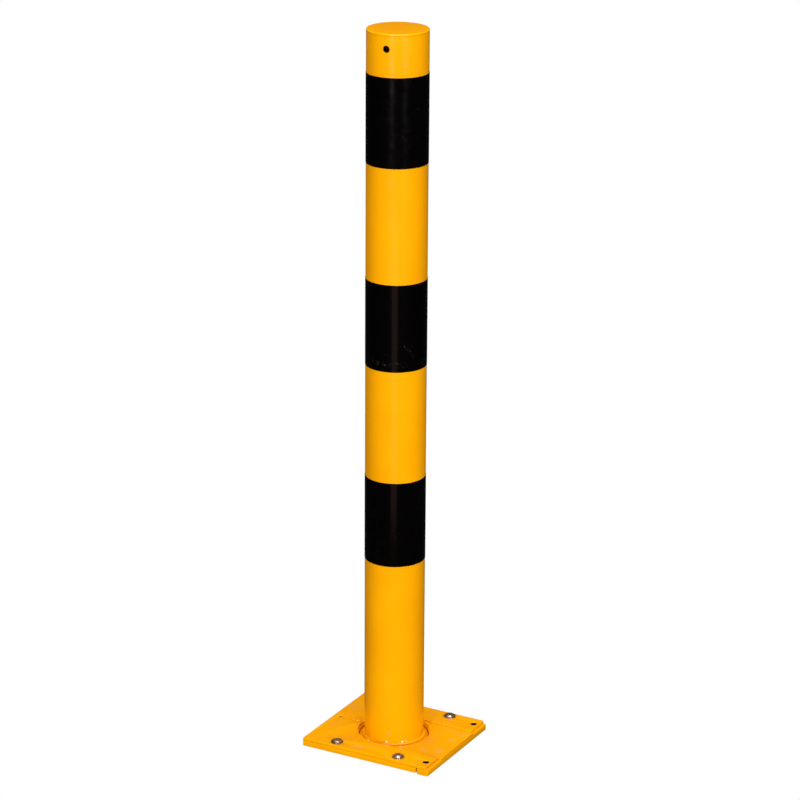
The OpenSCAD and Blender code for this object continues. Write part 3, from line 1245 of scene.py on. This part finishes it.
    def _collar(self) -> None:
        """The collar round the foot and the two welds that hold it."""
        low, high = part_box("post_collar")
        outer, inner, cut = high.x, self.radius + self.fit, self.collar_cut
        corners = np.array([[inner, low.z], [outer, low.z], [outer, high.z - cut],
                            [outer - cut, high.z], [inner, high.z]])
        crisp, round_edge = 0.05 * MM, 0.6 * MM
        profile = fillet(corners, [crisp, round_edge, round_edge, round_edge, crisp])
        self._painted("post_collar_skin", ring_shell(profile, self.turns), "post_collar")
        welds = ring_bead(self.radius, high.z, self.collar_weld, 1)
        welds.join(ring_bead(self.radius, low.z, self.collar_weld, -1))
        self._painted("post_collar_welds", welds, crease=70)

    def _lugs(self) -> None:
        """The two locking lugs: stretches of a thick ring, with rounded edges."""
        low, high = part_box("locking_lugs")
        lug = (high.x, self.radius + self.fit)
        shell = Shell()
        for side in (0, 180):
            ends = (side - self.lug_half, side + self.lug_half)
            shell.join(sector(*lug, *ends, low.z, high.z, self.lug_edge))
        self._zinc("locking_lugs_pair", shell, "locking_lugs")

    def _plug(self) -> None:
        """The plug in the tube's foot, and the washer under the guide shoe."""
        low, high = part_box("foot_plug")
        outer, bore = self.radius - self.wall - self.fit, self.bolt_radius + 0.05 * MM
        self._zinc("foot_plug_disc", ring_shell(ring(outer, bore, low.z, high.z, 0.5 * MM)),
                   "foot_plug")
        low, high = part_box("shoe_washer")
        self._zinc("shoe_washer_ring", ring_shell(ring(high.x, 8.05 * MM, low.z, high.z, 0.4 * MM)),
                   "shoe_washer")

    def _bolt(self) -> None:
        """The shoe's bolt: a hexagon head, a shoulder that the shoe turns on, and a shank."""
        under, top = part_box("shoe_bolt")
        head_top, shoulder_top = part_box("shoe_washer")[0].z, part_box("foot_plug")[0].z
        turns, shoulder, shank = 72, 8.0 * MM, self.bolt_radius
        hexagon = hexagon_radius(around(turns), top.y)
        worn = np.minimum(hexagon, top.y + 0.6 * MM)
        rings = [(0.0, under.z), (worn * 0.93, under.z), (worn, under.z + 0.5 * MM),
                 (hexagon, under.z + 1.6 * MM), (hexagon, head_top), (shoulder, head_top),
                 (shoulder, shoulder_top), (shank, shoulder_top), (shank, top.z - 1 * MM),
                 (5.0 * MM, top.z), (0.0, top.z)]
        self._zinc("shoe_bolt_hex", Shell().grid(stacked(rings, turns)), "shoe_bolt")


@dataclass
class Base:
    """The two painted plates, their fasteners and the slide.

    Attributes:
        finishes: the bollard's finishes.
        bore_radius: radius of the lower plate's opening.
        opening_radius: radius of the upper plate's opening and of the slide's end.
        channel_half: half the width of the upper plate's channel.
        slide_gap: play between the slide and each side of the channel.
        corner_cut: cut across the plates' corners.
        corner_round: radius of the plates' corners.
        edge: radius of the plates' edges.
        sheet_edge: radius of the slide's thin sheet's edges.
        sheet_round: radius of the sheet's corners.
        bar_edge: radius of the slide bar's edges.
        bar_round: radius of the slide bar's corners.
        screw_x: from the middle to a plate screw, along X.
        screw_y: from the middle to a plate screw, along Y.
        screw_hole: radius of the plate screws' holes.
        screw: shape of the plate screws.
        washer_radius: outer radius of their washers.
        washer_hole: inner radius of their washers.
        nut_half: half the width of their nuts across the flats.
        clamp_x: from the middle to a clamp screw, along X.
        clamp_y: from the middle to a clamp screw, along Y.
        clamp_key: half the width of a clamp screw's socket across its flats.
        clamp_floor: thickness of the clamp screw under its socket.
        small_screw: shape of the small painted screw.
        pin_radius: radius of the locating pin.
        pin_cut: chamfer of the pin's ends.
        play: play between the small screw or the pin and its hole.
    """

    finishes: Finishes
    bore_radius: float = 45.2 * MM
    opening_radius: float = 46.4 * MM
    channel_half: float = 44.5 * MM
    slide_gap: float = 0.3 * MM
    corner_cut: float = 0.5 * MM
    corner_round: float = 0.6 * MM
    edge: float = 0.7 * MM
    sheet_edge: float = 0.45 * MM
    sheet_round: float = 0.8 * MM
    bar_edge: float = 0.8 * MM
    bar_round: float = 1.3 * MM
    screw_x: float = 44.5 * MM
    screw_y: float = 69.5 * MM
    screw_hole: float = 4.5 * MM
    screw: DomedScrew = DomedScrew(6.7 * MM, 2.35 * MM, 2.0 * MM, 4.0 * MM, 1.25 * MM)
    washer_radius: float = 8.0 * MM
    washer_hole: float = 4.25 * MM
    nut_half: float = 7.0 * MM
    clamp_x: float = 82.0 * MM
    clamp_y: float = 65.0 * MM
    clamp_key: float = 2.0 * MM
    clamp_floor: float = 1.2 * MM
    small_screw: DomedScrew = DomedScrew(4.75 * MM, 1.5 * MM, 0.7 * MM, 2.5 * MM, 0.8 * MM)
    pin_radius: float = 2.0 * MM
    pin_cut: float = 0.4 * MM
    play: float = 0.05 * MM

    def build(self) -> None:
        """Builds the base, its fasteners and the slide."""
        self._frame()
        self._top_plate()
        self._slide()
        self._plate_screws()
        self._clamp_screws()
        self._small_screw()
        self._pin()

    def _painted(self, name: str, shell: Shell, node: str) -> None:
        """Makes a painted piece that stays with the base."""
        Piece(name, Body.BASE, Slot.YELLOW, (node,)).make(shell, self.finishes.plate_yellow)

    def _sliding(self, name: str, shell: Shell, node: str) -> None:
        """Makes a painted piece of the slide."""
        Piece(name, Body.SLIDE, Slot.YELLOW, (node,)).make(shell, self.finishes.slide_yellow)

    def _screw_places(self) -> list[tuple[float, float]]:
        """Places of the four plate screws."""
        return [(x, y) for x in (-self.screw_x, self.screw_x) for y in (-self.screw_y, self.screw_y)]

    def _shared_holes(self) -> list[np.ndarray]:
        """Outlines of the holes that both plates have.

        Returns:
            The holes of the plate screws, of the small screw and of the pin.
        """
        holes = [circle_hole(self.screw_hole, x, y) for x, y in self._screw_places()]
        for node, radius in (("small_plate_screw", self.small_screw.thread),
                             ("locating_pin", self.pin_radius)):
            holes.append(circle_hole(radius + self.play, middle_x(node), 0.0, 28))
        return holes

    def _frame(self) -> None:
        """The lower plate: a slab with the post's bore and the screws' holes."""
        low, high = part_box("base_frame")
        cut = self.corner_cut
        corners = np.array([[low.x + cut, low.y], [high.x, low.y], [high.x, high.y],
                            [low.x + cut, high.y], [low.x, high.y - cut], [low.x, low.y + cut]])
        holes = [circle_hole(self.bore_radius, steps=160), *self._shared_holes()]
        shell = slab(fillet(corners, self.corner_round), holes, low.z, high.z, self.edge)
        self._painted("base_frame_plate", shell, "base_frame")

    def _opening_arc(self, half_width: float) -> float:
        """Degrees from +X to where the opening's circle meets a line this far from the middle."""
        return math.degrees(math.asin(half_width / self.opening_radius))

    def _top_plate(self) -> None:
        """The upper plate: a U whose channel ends in an arc round the post."""
        low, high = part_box("top_plate")
        cut, y = self.corner_cut, self.channel_half
        meet = self._opening_arc(y)
        bend = arc(self.opening_radius, -meet, -360 + meet, 120)
        corners = np.array([[0, y], [high.x, y], [high.x, high.y - cut], [high.x - cut, high.y],
                            [low.x + cut, high.y], [low.x, high.y - cut], [low.x, low.y + cut],
                            [low.x + cut, low.y], [high.x - cut, low.y], [high.x, low.y + cut],
                            [high.x, -y], [0, -y]])
        # The first and last corners only aim the channel's sides. The bend takes their place.
        rounded = fillet(corners, self.corner_round).reshape(len(corners), -1, 2)[1:-1]
        outer = np.concatenate([rounded.reshape(-1, 2), bend])
        clamp_hole = self.screw.thread + 0.3 * MM
        clamps = [circle_hole(clamp_hole, self.clamp_x, side) for side in (-self.clamp_y, self.clamp_y)]
        shell = slab(outer, [*self._shared_holes(), *clamps], low.z, high.z, self.edge)
        self._painted("top_plate_u", shell, "top_plate")

    def _slide(self) -> None:
        """The slide: a thin tongue with a half-round end, and the bar under its far end."""
        low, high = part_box("slide_tongue")
        y = self.channel_half - self.slide_gap
        meet = self._opening_arc(y)
        bend = arc(self.opening_radius, meet, -meet, 80)
        corners = np.array([[0, -y], [high.x, -y], [high.x, y], [0, y]])
        front = fillet(corners, self.sheet_round).reshape(len(corners), -1, 2)[1:-1]
        outer = np.concatenate([front.reshape(-1, 2), bend])
        shell = slab(outer, [], low.z, high.z, self.sheet_edge)
        self._sliding("slide_tongue_sheet", shell, "slide_tongue")
        low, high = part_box("slide_bar")
        corners = np.array([[low.x, low.y], [high.x, low.y], [high.x, high.y], [low.x, high.y]])
        shell = slab(fillet(corners, self.bar_round), [], low.z, high.z, self.bar_edge)
        self._sliding("slide_bar_flat", shell, "slide_bar")

    def _plate_screws(self) -> None:
        """The plate screws with their washers above and their nuts below."""
        tail, top = (corner.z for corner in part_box("top_plate_screws"))
        washer_low, washer_high = (corner.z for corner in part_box("screw_washers"))
        nut_low, nut_high = (corner.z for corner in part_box("weld_nuts"))
        washer = ring(self.washer_radius, self.washer_hole, washer_low, washer_high, 0.35 * MM)
        nut = hexagon_nut(self.nut_half, self.screw.thread + self.play, nut_low, nut_high)
        finishes = self.finishes
        rows = (
            ("plate_screws_domed", "top_plate_screws", Slot.STAINLESS, finishes.stainless,
             self.screw.shell(tail, washer_high, top)),
            ("plate_washers", "screw_washers", Slot.STAINLESS, finishes.stainless,
             ring_shell(washer, 64)),
            ("weld_nuts_hex", "weld_nuts", Slot.ZINC, finishes.zinc, nut),
        )
        places = [shift(x, y, 0) @ Matrix.Rotation(0.4 + 0.9 * number, 4, "Z")
                  for number, (x, y) in enumerate(self._screw_places())]
        for name, node, slot, material, shell in rows:
            Piece(name, Body.BASE, slot, (node,)).make(shell.repeated(places), material)

    def _clamp_screws(self) -> None:
        """The two headless clamp screws: a hexagon socket in a short round shank."""
        low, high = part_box("slide_clamp_screws")
        turns, r, lip = 60, self.screw.thread, 0.25 * MM
        key = hexagon_radius(around(turns), self.clamp_key)
        floor = low.z + self.clamp_floor
        rings = [(0.0, low.z), (r - 0.7 * MM, low.z), (r, low.z + 0.6 * MM),
                 (r, high.z - 0.5 * MM), (r - 0.5 * MM, high.z), (key + lip, high.z),
                 (key, high.z - lip), (key, floor), (0.0, floor - 0.3 * MM)]
        places = [shift(self.clamp_x, y, 0) @ Matrix.Rotation(turn, 4, "Z")
                  for y, turn in ((-self.clamp_y, 0.3), (self.clamp_y, 0.8))]
        shell = Shell().grid(stacked(rings, turns)).repeated(places)
        Piece("clamp_screws_black", Body.BASE, Slot.OXIDE, ("slide_clamp_screws",)).make(
            shell, self.finishes.oxide
        )

    def _small_screw(self) -> None:
        """The small painted screw behind the post."""
        node = "small_plate_screw"
        low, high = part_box(node)
        shell = self.small_screw.shell(low.z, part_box("top_plate")[1].z, high.z)
        self._painted("small_screw_painted", shell.moved(shift(middle_x(node), 0, 0)), node)

    def _pin(self) -> None:
        """The locating pin: a short rod with chamfered ends."""
        node = "locating_pin"
        low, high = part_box(node)
        r, cut = self.pin_radius, self.pin_cut
        profile = np.array([[0, low.z], [r - cut, low.z], [r, low.z + cut], [r, high.z - cut],
                            [r - cut, high.z], [0, high.z]])
        shell = solid_shell(profile, 40).moved(shift(middle_x(node), 0, 0))
        Piece("locating_pin_rod", Body.BASE, Slot.OXIDE, (node,)).make(shell, self.finishes.oxide)


def middle_x(node: str) -> float:
    """The middle of a CAD node's box along X."""
    low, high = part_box(node)
    return (low.x + high.x) / 2


@dataclass
class Sleeve:
    """What is set in the ground: the sleeve, its fittings and the post's guide.

    Attributes:
        finishes: the bollard's finishes.
        turns: points round the sleeve.
        outer: outer radius of the sleeve.
        wall: thickness of the sleeve.
        bore_radius: inner radius of what the sleeve holds the post with.
        seat: from the sleeve's wall to the rings in it.
        notch: half the ledges' notches, in degrees.
        stop_from: where a turn stop starts, in degrees from +X.
        drain_radius: outer radius of the drain stub.
        drain_bore: inner radius of the drain stub.
        gusset: thickness of a gusset.
        gusset_foot: height and width of a gusset's thin ends.
        rib: height of the rods' ribs.
        rib_pitch: from one rib of a rod to the next.
        buffer_bore: inner radius of the rubber buffer.
        shoe_bore: inner radius of the guide shoe.
        shoe_lead: chamfer at the guide shoe's foot.
    """

    finishes: Finishes
    turns: int = 128
    outer: float = 54.0 * MM
    wall: float = 2.9 * MM
    bore_radius: float = 45.2 * MM
    seat: float = 0.1 * MM
    notch: float = 17.0
    stop_from: float = 105.0
    drain_radius: float = 16.0 * MM
    drain_bore: float = 14.0 * MM
    gusset: float = 5.0 * MM
    gusset_foot: float = 4.0 * MM
    rib: float = 0.5 * MM
    rib_pitch: float = 8.0 * MM
    buffer_bore: float = 20.2 * MM
    shoe_bore: float = 8.05 * MM
    shoe_lead: float = 3.0 * MM

    def build(self) -> None:
        """Builds the sleeve and everything in and on it."""
        self._tube()
        self._bottom()
        self._rods()
        self._gussets()
        self._stops()
        self._buffer()
        self._shoe()
        self._welds()

    def _zinc(self, name: str, shell: Shell, *nodes: str) -> None:
        """Makes a galvanised piece of the base."""
        Piece(name, Body.BASE, Slot.ZINC, nodes).make(shell, self.finishes.zinc)

    def _tube(self) -> None:
        """The sleeve: a ring profile turned about Z."""
        low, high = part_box("sleeve_tube")
        profile = ring(self.outer, self.outer - self.wall, low.z, high.z, 0.5 * MM)
        self._zinc("sleeve_tube_wall", ring_shell(profile, self.turns), "sleeve_tube")

    def _bottom(self) -> None:
        """The closing plate and the drain stub, with a bead that keeps a hose on.

        The bead swells by a bell curve, exp(-(height from its middle / width)^2).
        """
        low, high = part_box("sleeve_bottom_plate")
        plate = ring(self.outer, self.drain_bore, low.z, high.z, 0.8 * MM)
        self._zinc("sleeve_bottom_disc", ring_shell(plate, self.turns), "sleeve_bottom_plate")
        low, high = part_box("drain_stub")
        rise, width, chamfer = 0.9 * MM, 1.6 * MM, 0.5 * MM
        z = np.linspace(low.z + chamfer, high.z, 40)
        swell = rise * np.exp(-(((z - low.z - 6 * MM) / width) ** 2))
        outside = np.stack([self.drain_radius - rise + swell, z], axis=1)
        bore = self.drain_bore
        rest = np.array([[bore, high.z], [bore, low.z], [self.drain_radius - 1.3 * MM, low.z]])
        self._zinc("drain_stub_pipe", ring_shell(np.concatenate([outside, rest])), "drain_stub")

    def _rods(self) -> None:
        """The four anchor rods, ribbed like reinforcing steel.

        At a distance s along the rod and an angle a round it, the radius is r + rib * crest
        * sqrt(|sin a|), where the crest is 2.5 cos(2 pi s / pitch + 1.5 cos a) - 1, held
        from 0 to 1. So the ribs slant, and fade out at two opposite sides.
        """
        low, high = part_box("sleeve_anchors")
        r = (high.z - low.z) / 2 - self.rib
        reach = np.linalg.norm([high.x, high.y]) - r
        turns = 48
        s = np.linspace(self.outer - 1 * MM, reach, 90)[:, None]
        a = around(turns)[None]
        wave = np.cos(math.tau * (s / self.rib_pitch) + 1.5 * np.cos(a))
        radius = r + self.rib * np.clip(wave * 2.5 - 1, 0, 1) * np.abs(np.sin(a)) ** 0.5
        along = np.broadcast_to(s, radius.shape)
        side = np.stack([along, radius * np.cos(a), radius * np.sin(a)], axis=-1)
        ends = [np.zeros((1, turns, 3)) + [s[i, 0], 0, 0] for i in (0, -1)]
        rod = Shell().grid(np.concatenate([ends[0], side, ends[1]]))
        places = [shift(0, 0, (low.z + high.z) / 2) @ spin(turn) for turn in DIAGONAL]
        self._zinc("anchor_rods_ribbed", rod.repeated(places), "sleeve_anchors")

    def _gussets(self) -> None:
        """The four gussets between the sleeve and the frame, stood up from flat slabs."""
        low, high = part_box("sleeve_gussets")
        foot = self.gusset_foot
        corners = np.array([[self.outer, 0], [self.outer, low.z], [self.outer + foot, low.z],
                            [high.x, -foot], [high.x, 0]])
        half = self.gusset / 2
        flat = slab(fillet(corners, 0.8 * MM), [], -half, half, 0.5 * MM)
        upright = Matrix.Rotation(math.radians(90), 4, "X")
        shell = flat.repeated([spin(turn) @ upright for turn in SQUARE])
        self._zinc("gusset_plates", shell, "sleeve_gussets")

    def _stops(self) -> None:
        """The stop ring, the two ledges with their notches, and the turn stops."""
        inner = self.outer - self.wall - self.seat
        low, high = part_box("upper_stop_ring")
        profile = ring(inner, self.bore_radius, low.z, high.z, 0.6 * MM)
        self._zinc("upper_stop_band", ring_shell(profile, self.turns), "upper_stop_ring")
        for node, name, start in (("locking_ledges", "locking_ledge_pair", self.notch),
                                  ("turn_stops", "turn_stop_pair", self.stop_from)):
            low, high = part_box(node)
            shell = Shell()
            for side in (0, 180):
                ends = (side + start, side + 180 - self.notch)
                shell.join(sector(inner, self.bore_radius, *ends, low.z, high.z, 0.8 * MM))
            self._zinc(name, shell, node)

    def _buffer(self) -> None:
        """The rubber buffer: a ring with three grooves round its outside.

        The outer radius falls by the grooves' depth times sin^2(3 pi * share of the height).
        """
        low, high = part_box("rubber_buffer")
        edge, depth, inner = 1 * MM, 1.2 * MM, self.buffer_bore
        z = np.linspace(low.z + edge, high.z - edge, 37)
        share = (z - z[0]) / (z[-1] - z[0])
        r = high.x - depth * np.sin(3 * math.pi * share) ** 2
        rest = np.array([[high.x - edge, high.z], [inner + edge, high.z], [inner, high.z - edge],
                         [inner, low.z + edge], [inner + edge, low.z], [high.x - edge, low.z]])
        profile = np.concatenate([np.stack([r, z], axis=1), rest])
        Piece("buffer_grooved", Body.BASE, Slot.RUBBER, ("rubber_buffer",)).make(
            ring_shell(profile), self.finishes.rubber
        )

    def _shoe(self) -> None:
        """The nylon guide shoe: chamfered below, with two grease grooves round it.

        Each groove is a bell curve, exp(-(share of the height from its middle / width)^2).
        """
        low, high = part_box("guide_shoe")
        r, bore, lead = high.x, self.shoe_bore, self.shoe_lead
        edge, cut, depth = 0.6 * MM, 0.5 * MM, 1.0 * MM
        z = np.linspace(low.z + lead, high.z - edge, 60)
        share = (z - z[0]) / (z[-1] - z[0])
        groove = np.exp(-(((share[:, None] - [0.33, 0.67]) / 0.045) ** 2)).sum(axis=1)
        outside = np.stack([r - depth * groove, z], axis=1)
        rest = np.array([[r - edge, high.z], [bore + cut, high.z], [bore, high.z - cut],
                         [bore, low.z + cut], [bore + cut, low.z], [r - lead, low.z]])
        Piece("guide_shoe_turned", Body.GUIDE, Slot.NYLON, ("guide_shoe",)).make(
            ring_shell(np.concatenate([outside, rest]), self.turns), self.finishes.nylon
        )

    def _welds(self) -> None:
        """The welds of the sleeve: round its top and bottom, the stub, rods and gussets."""
        bottom, top = (corner.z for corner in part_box("sleeve_tube"))
        rod_low, rod_high = (corner.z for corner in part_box("sleeve_anchors"))
        welds = ring_bead(self.outer, top, 3.5 * MM, -1)
        welds.join(ring_bead(self.drain_radius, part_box("drain_stub")[1].z, 2.5 * MM, -1))
        welds.join(ring_bead(self.outer - 0.6 * MM, bottom, 2.4 * MM, 1))
        for turn in SQUARE:
            for side in (-1, 1):
                welds.join(self._gusset_weld(side).moved(spin(turn)))
        rod = ring_bead((rod_high - rod_low) / 2 - self.rib, 0, 2.2 * MM, 1)
        lay = (shift(self.outer - 0.2 * MM, 0, (rod_low + rod_high) / 2)
               @ Matrix.Rotation(math.radians(90), 4, "Y"))
        welds.join(rod.repeated([spin(turn) @ lay for turn in DIAGONAL]))
        self._zinc("sleeve_welds", welds)

    def _gusset_weld(self, side: int) -> Shell:
        """The weld up one side of the gusset at +X, against the sleeve.

        Args:
            side: +1 for the gusset's left side, -1 for its right.

        Returns:
            The closed bead, whose path runs up where the sleeve's circle meets the gusset.
        """
        z = np.linspace(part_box("sleeve_gussets")[0].z + 2 * MM, -self.gusset_foot, 60)
        y = self.gusset / 2
        x = math.sqrt(self.outer**2 - y**2)
        path = np.stack([np.full_like(z, x), np.full_like(z, side * y), z], axis=1)
        along_plate = np.broadcast_to([1.0, 0.0, 0.0], path.shape)
        along_sleeve = np.broadcast_to([0.0, float(side), 0.0], path.shape)
        return bead(path, (along_plate, along_sleeve), 2.8 * MM, closed=False)


# ---------------------------------------------------------------- the studio


@dataclass(frozen=True)
class Softbox:
    """A rectangular soft light that faces a point on the post.

    Attributes:
        azimuth: degrees from the camera's side, to the right of it.
        distance: from the post's axis, in metres.
        height: of its middle, in metres.
        width: in metres.
        tall: its other side, in metres.
        power: in watts.
        lights: whether it lights surfaces.
        mirrored: whether glossy surfaces show it.
        tint: its colour.
    """

    azimuth: float
    distance: float
    height: float
    width: float
    tall: float
    power: float
    lights: bool
    mirrored: bool
    tint: str = "#FFFFFF"


@dataclass
class Studio:
    """Camera, lights, floor and background.

    Attributes:
        turn: degrees from the front (-Y) to the camera, towards the slide (+X).
        distance: from the post's axis to the camera, in metres.
        eye_height: height of the camera, in metres.
        pitch: degrees that the camera looks down.
        yaw: degrees that it looks to the left of the axis.
        roll: degrees that it leans to the left.
        lens: focal length, in millimetres.
        sensor: width of the sensor, in millimetres.
        clip: nearest and farthest distance that it sees, in metres.
        ambient: strength of the even light on surfaces.
        mirrored: strength of the background in gloss.
        ground_hole: radius of the hole in the ground, inside the base's outline.
        ground_radius: radius of the ground, small so that the sleeve shows from the side.
        floor_radius: radius of the floor far below.
        softboxes: the lights.
    """

    turn: float = 28.79
    distance: float = 3.5139
    eye_height: float = 1.6589
    pitch: float = 18.855
    yaw: float = -0.085
    roll: float = 0.359
    lens: float = 134.744
    sensor: float = 36.0
    clip: tuple[float, float] = (0.05, 50.0)
    ambient: float = 0.22
    mirrored: float = 0.02
    ground_hole: float = 60 * MM
    ground_radius: float = 0.23
    floor_radius: float = 6.0
    softboxes: tuple[Softbox, ...] = (
        Softbox(-20, 4.2, 0.8, 0.4, 0.6, 99, True, True),
        Softbox(27, 4.2, 0.9, 0.4, 0.6, 99, True, True),
        Softbox(-5.5, 1.0, 0.2, 0.36, 0.5, 0.8, False, True, "#FFC4B4"),
        Softbox(0, 0.4, 5.0, 2.4, 2.4, 212, True, True),
        Softbox(145, 3.0, 0.9, 1.2, 1.6, 24, True, False),
        Softbox(215, 3.0, 0.9, 1.2, 1.6, 28, True, False),
    )

    def build(self) -> None:
        """Sets up the studio."""
        self._camera()
        self._world()
        self._floors()
        for number, box in enumerate(self.softboxes):
            self._light(f"softbox_{number}", box)
        bpy.context.scene.view_settings.view_transform = "Standard"
        bpy.context.scene.view_settings.look = "None"

    def _place(self, azimuth: float, distance: float, height: float) -> Vector:
        """A point at a height, this far from the axis and to the camera's right."""
        a = math.radians(self.turn + azimuth)
        return Vector((math.sin(a), -math.cos(a), 0)) * distance + Vector((0, 0, height))

    def _camera(self) -> None:
        """The camera: level heading first, then pitch and roll."""
        data = bpy.data.cameras.new("camera")
        data.lens, data.sensor_width = self.lens, self.sensor
        data.clip_start, data.clip_end = self.clip
        camera = bpy.data.objects.new("camera", data)
        bpy.context.scene.collection.objects.link(camera)
        look = (spin(self.turn + self.yaw)
                @ Matrix.Rotation(math.radians(90 - self.pitch), 4, "X")
                @ spin(self.roll))
        eye = self._place(0, self.distance, self.eye_height)
        camera.matrix_world = Matrix.Translation(eye) @ look
        bpy.context.scene.camera = camera

    def _world(self) -> None:
        """White for the camera, a dim even light for surfaces, and darker still in gloss."""
        world = bpy.data.worlds.new("studio")
        world.use_nodes = True
        tree = world.node_tree
        tree.nodes.clear()
        ray = add(tree, "LightPath", {}).outputs
        dim, dark, white = (
            add(tree, "Background", {"Color": linear("#FFFFFF"), "Strength": strength}).outputs[0]
            for strength in (self.ambient, self.mirrored, 1.0)
        )
        lit = add(tree, "MixShader", {0: ray["Is Glossy Ray"], 1: dim, 2: dark}).outputs[0]
        both = add(tree, "MixShader", {0: ray["Is Camera Ray"], 1: lit, 2: white})
        add(tree, "OutputWorld", {"Surface": both.outputs[0]})
        bpy.context.scene.world = world

    def _floors(self) -> None:
        """The ground round the base, with a hole for the sleeve, and a floor far below it.

        Both glow evenly and cast nothing: rings of two radii at one height.
        """
        paper = Finish("studio_paper_white").wear(
            Base_Color=linear("#000000"), Roughness=1.0, Specular_IOR_Level=0.0,
            Emission_Color=linear("#FFFFFF"), Emission_Strength=1.0,
        )
        level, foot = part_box("slide_bar")[0].z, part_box("drain_stub")[0].z
        ground = np.array([[self.ground_hole, level], [self.ground_radius, level]])
        floor = np.array([[0.0, foot], [self.floor_radius, foot]])
        for name, profile, turns in (("ground", ground, 128), ("floor", floor, 64)):
            shell = solid_shell(profile, turns)
            mesh = bpy.data.meshes.new(name)
            mesh.from_pydata(np.concatenate(shell.points).tolist(), [], shell.faces)
            mesh.materials.append(paper)
            stage = bpy.data.objects.new(name, mesh)
            bpy.context.scene.collection.objects.link(stage)
            stage.visible_shadow = False
            stage.visible_diffuse = False
            stage.visible_glossy = False

    def _light(self, name: str, box: Softbox) -> None:
        """One softbox, aimed at the middle of the raised post.

        Args:
            name: the light's name.
            box: where it stands and how it shines.
        """
        data = bpy.data.lights.new(name, "AREA")
        data.shape = "RECTANGLE"
        data.size, data.size_y, data.energy = box.width, box.tall, box.power
        data.color = linear(box.tint)[:3]
        light = bpy.data.objects.new(name, data)
        light.visible_glossy = box.mirrored
        light.visible_diffuse = box.lights
        light.visible_camera = False
        bpy.context.scene.collection.objects.link(light)
        place = self._place(box.azimuth, box.distance, box.height)
        aim = Vector((0, 0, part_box("head_cap")[1].z / 2)) - place
        look = aim.to_track_quat("-Z", "Y").to_matrix().to_4x4()
        light.matrix_world = Matrix.Translation(place) @ look


def main() -> None:
    """Loads the frame, builds the bollard round it, and sets up the studio."""
    logging.basicConfig(level=logging.INFO, format="%(name)s: %(message)s")
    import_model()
    finishes = Finishes()
    for part in (Base(finishes), Post(finishes), Sleeve(finishes)):
        LOG.info("building %s", type(part).__name__)
        part.build()
    Studio().build()


if __name__ == "__main__":
    main()
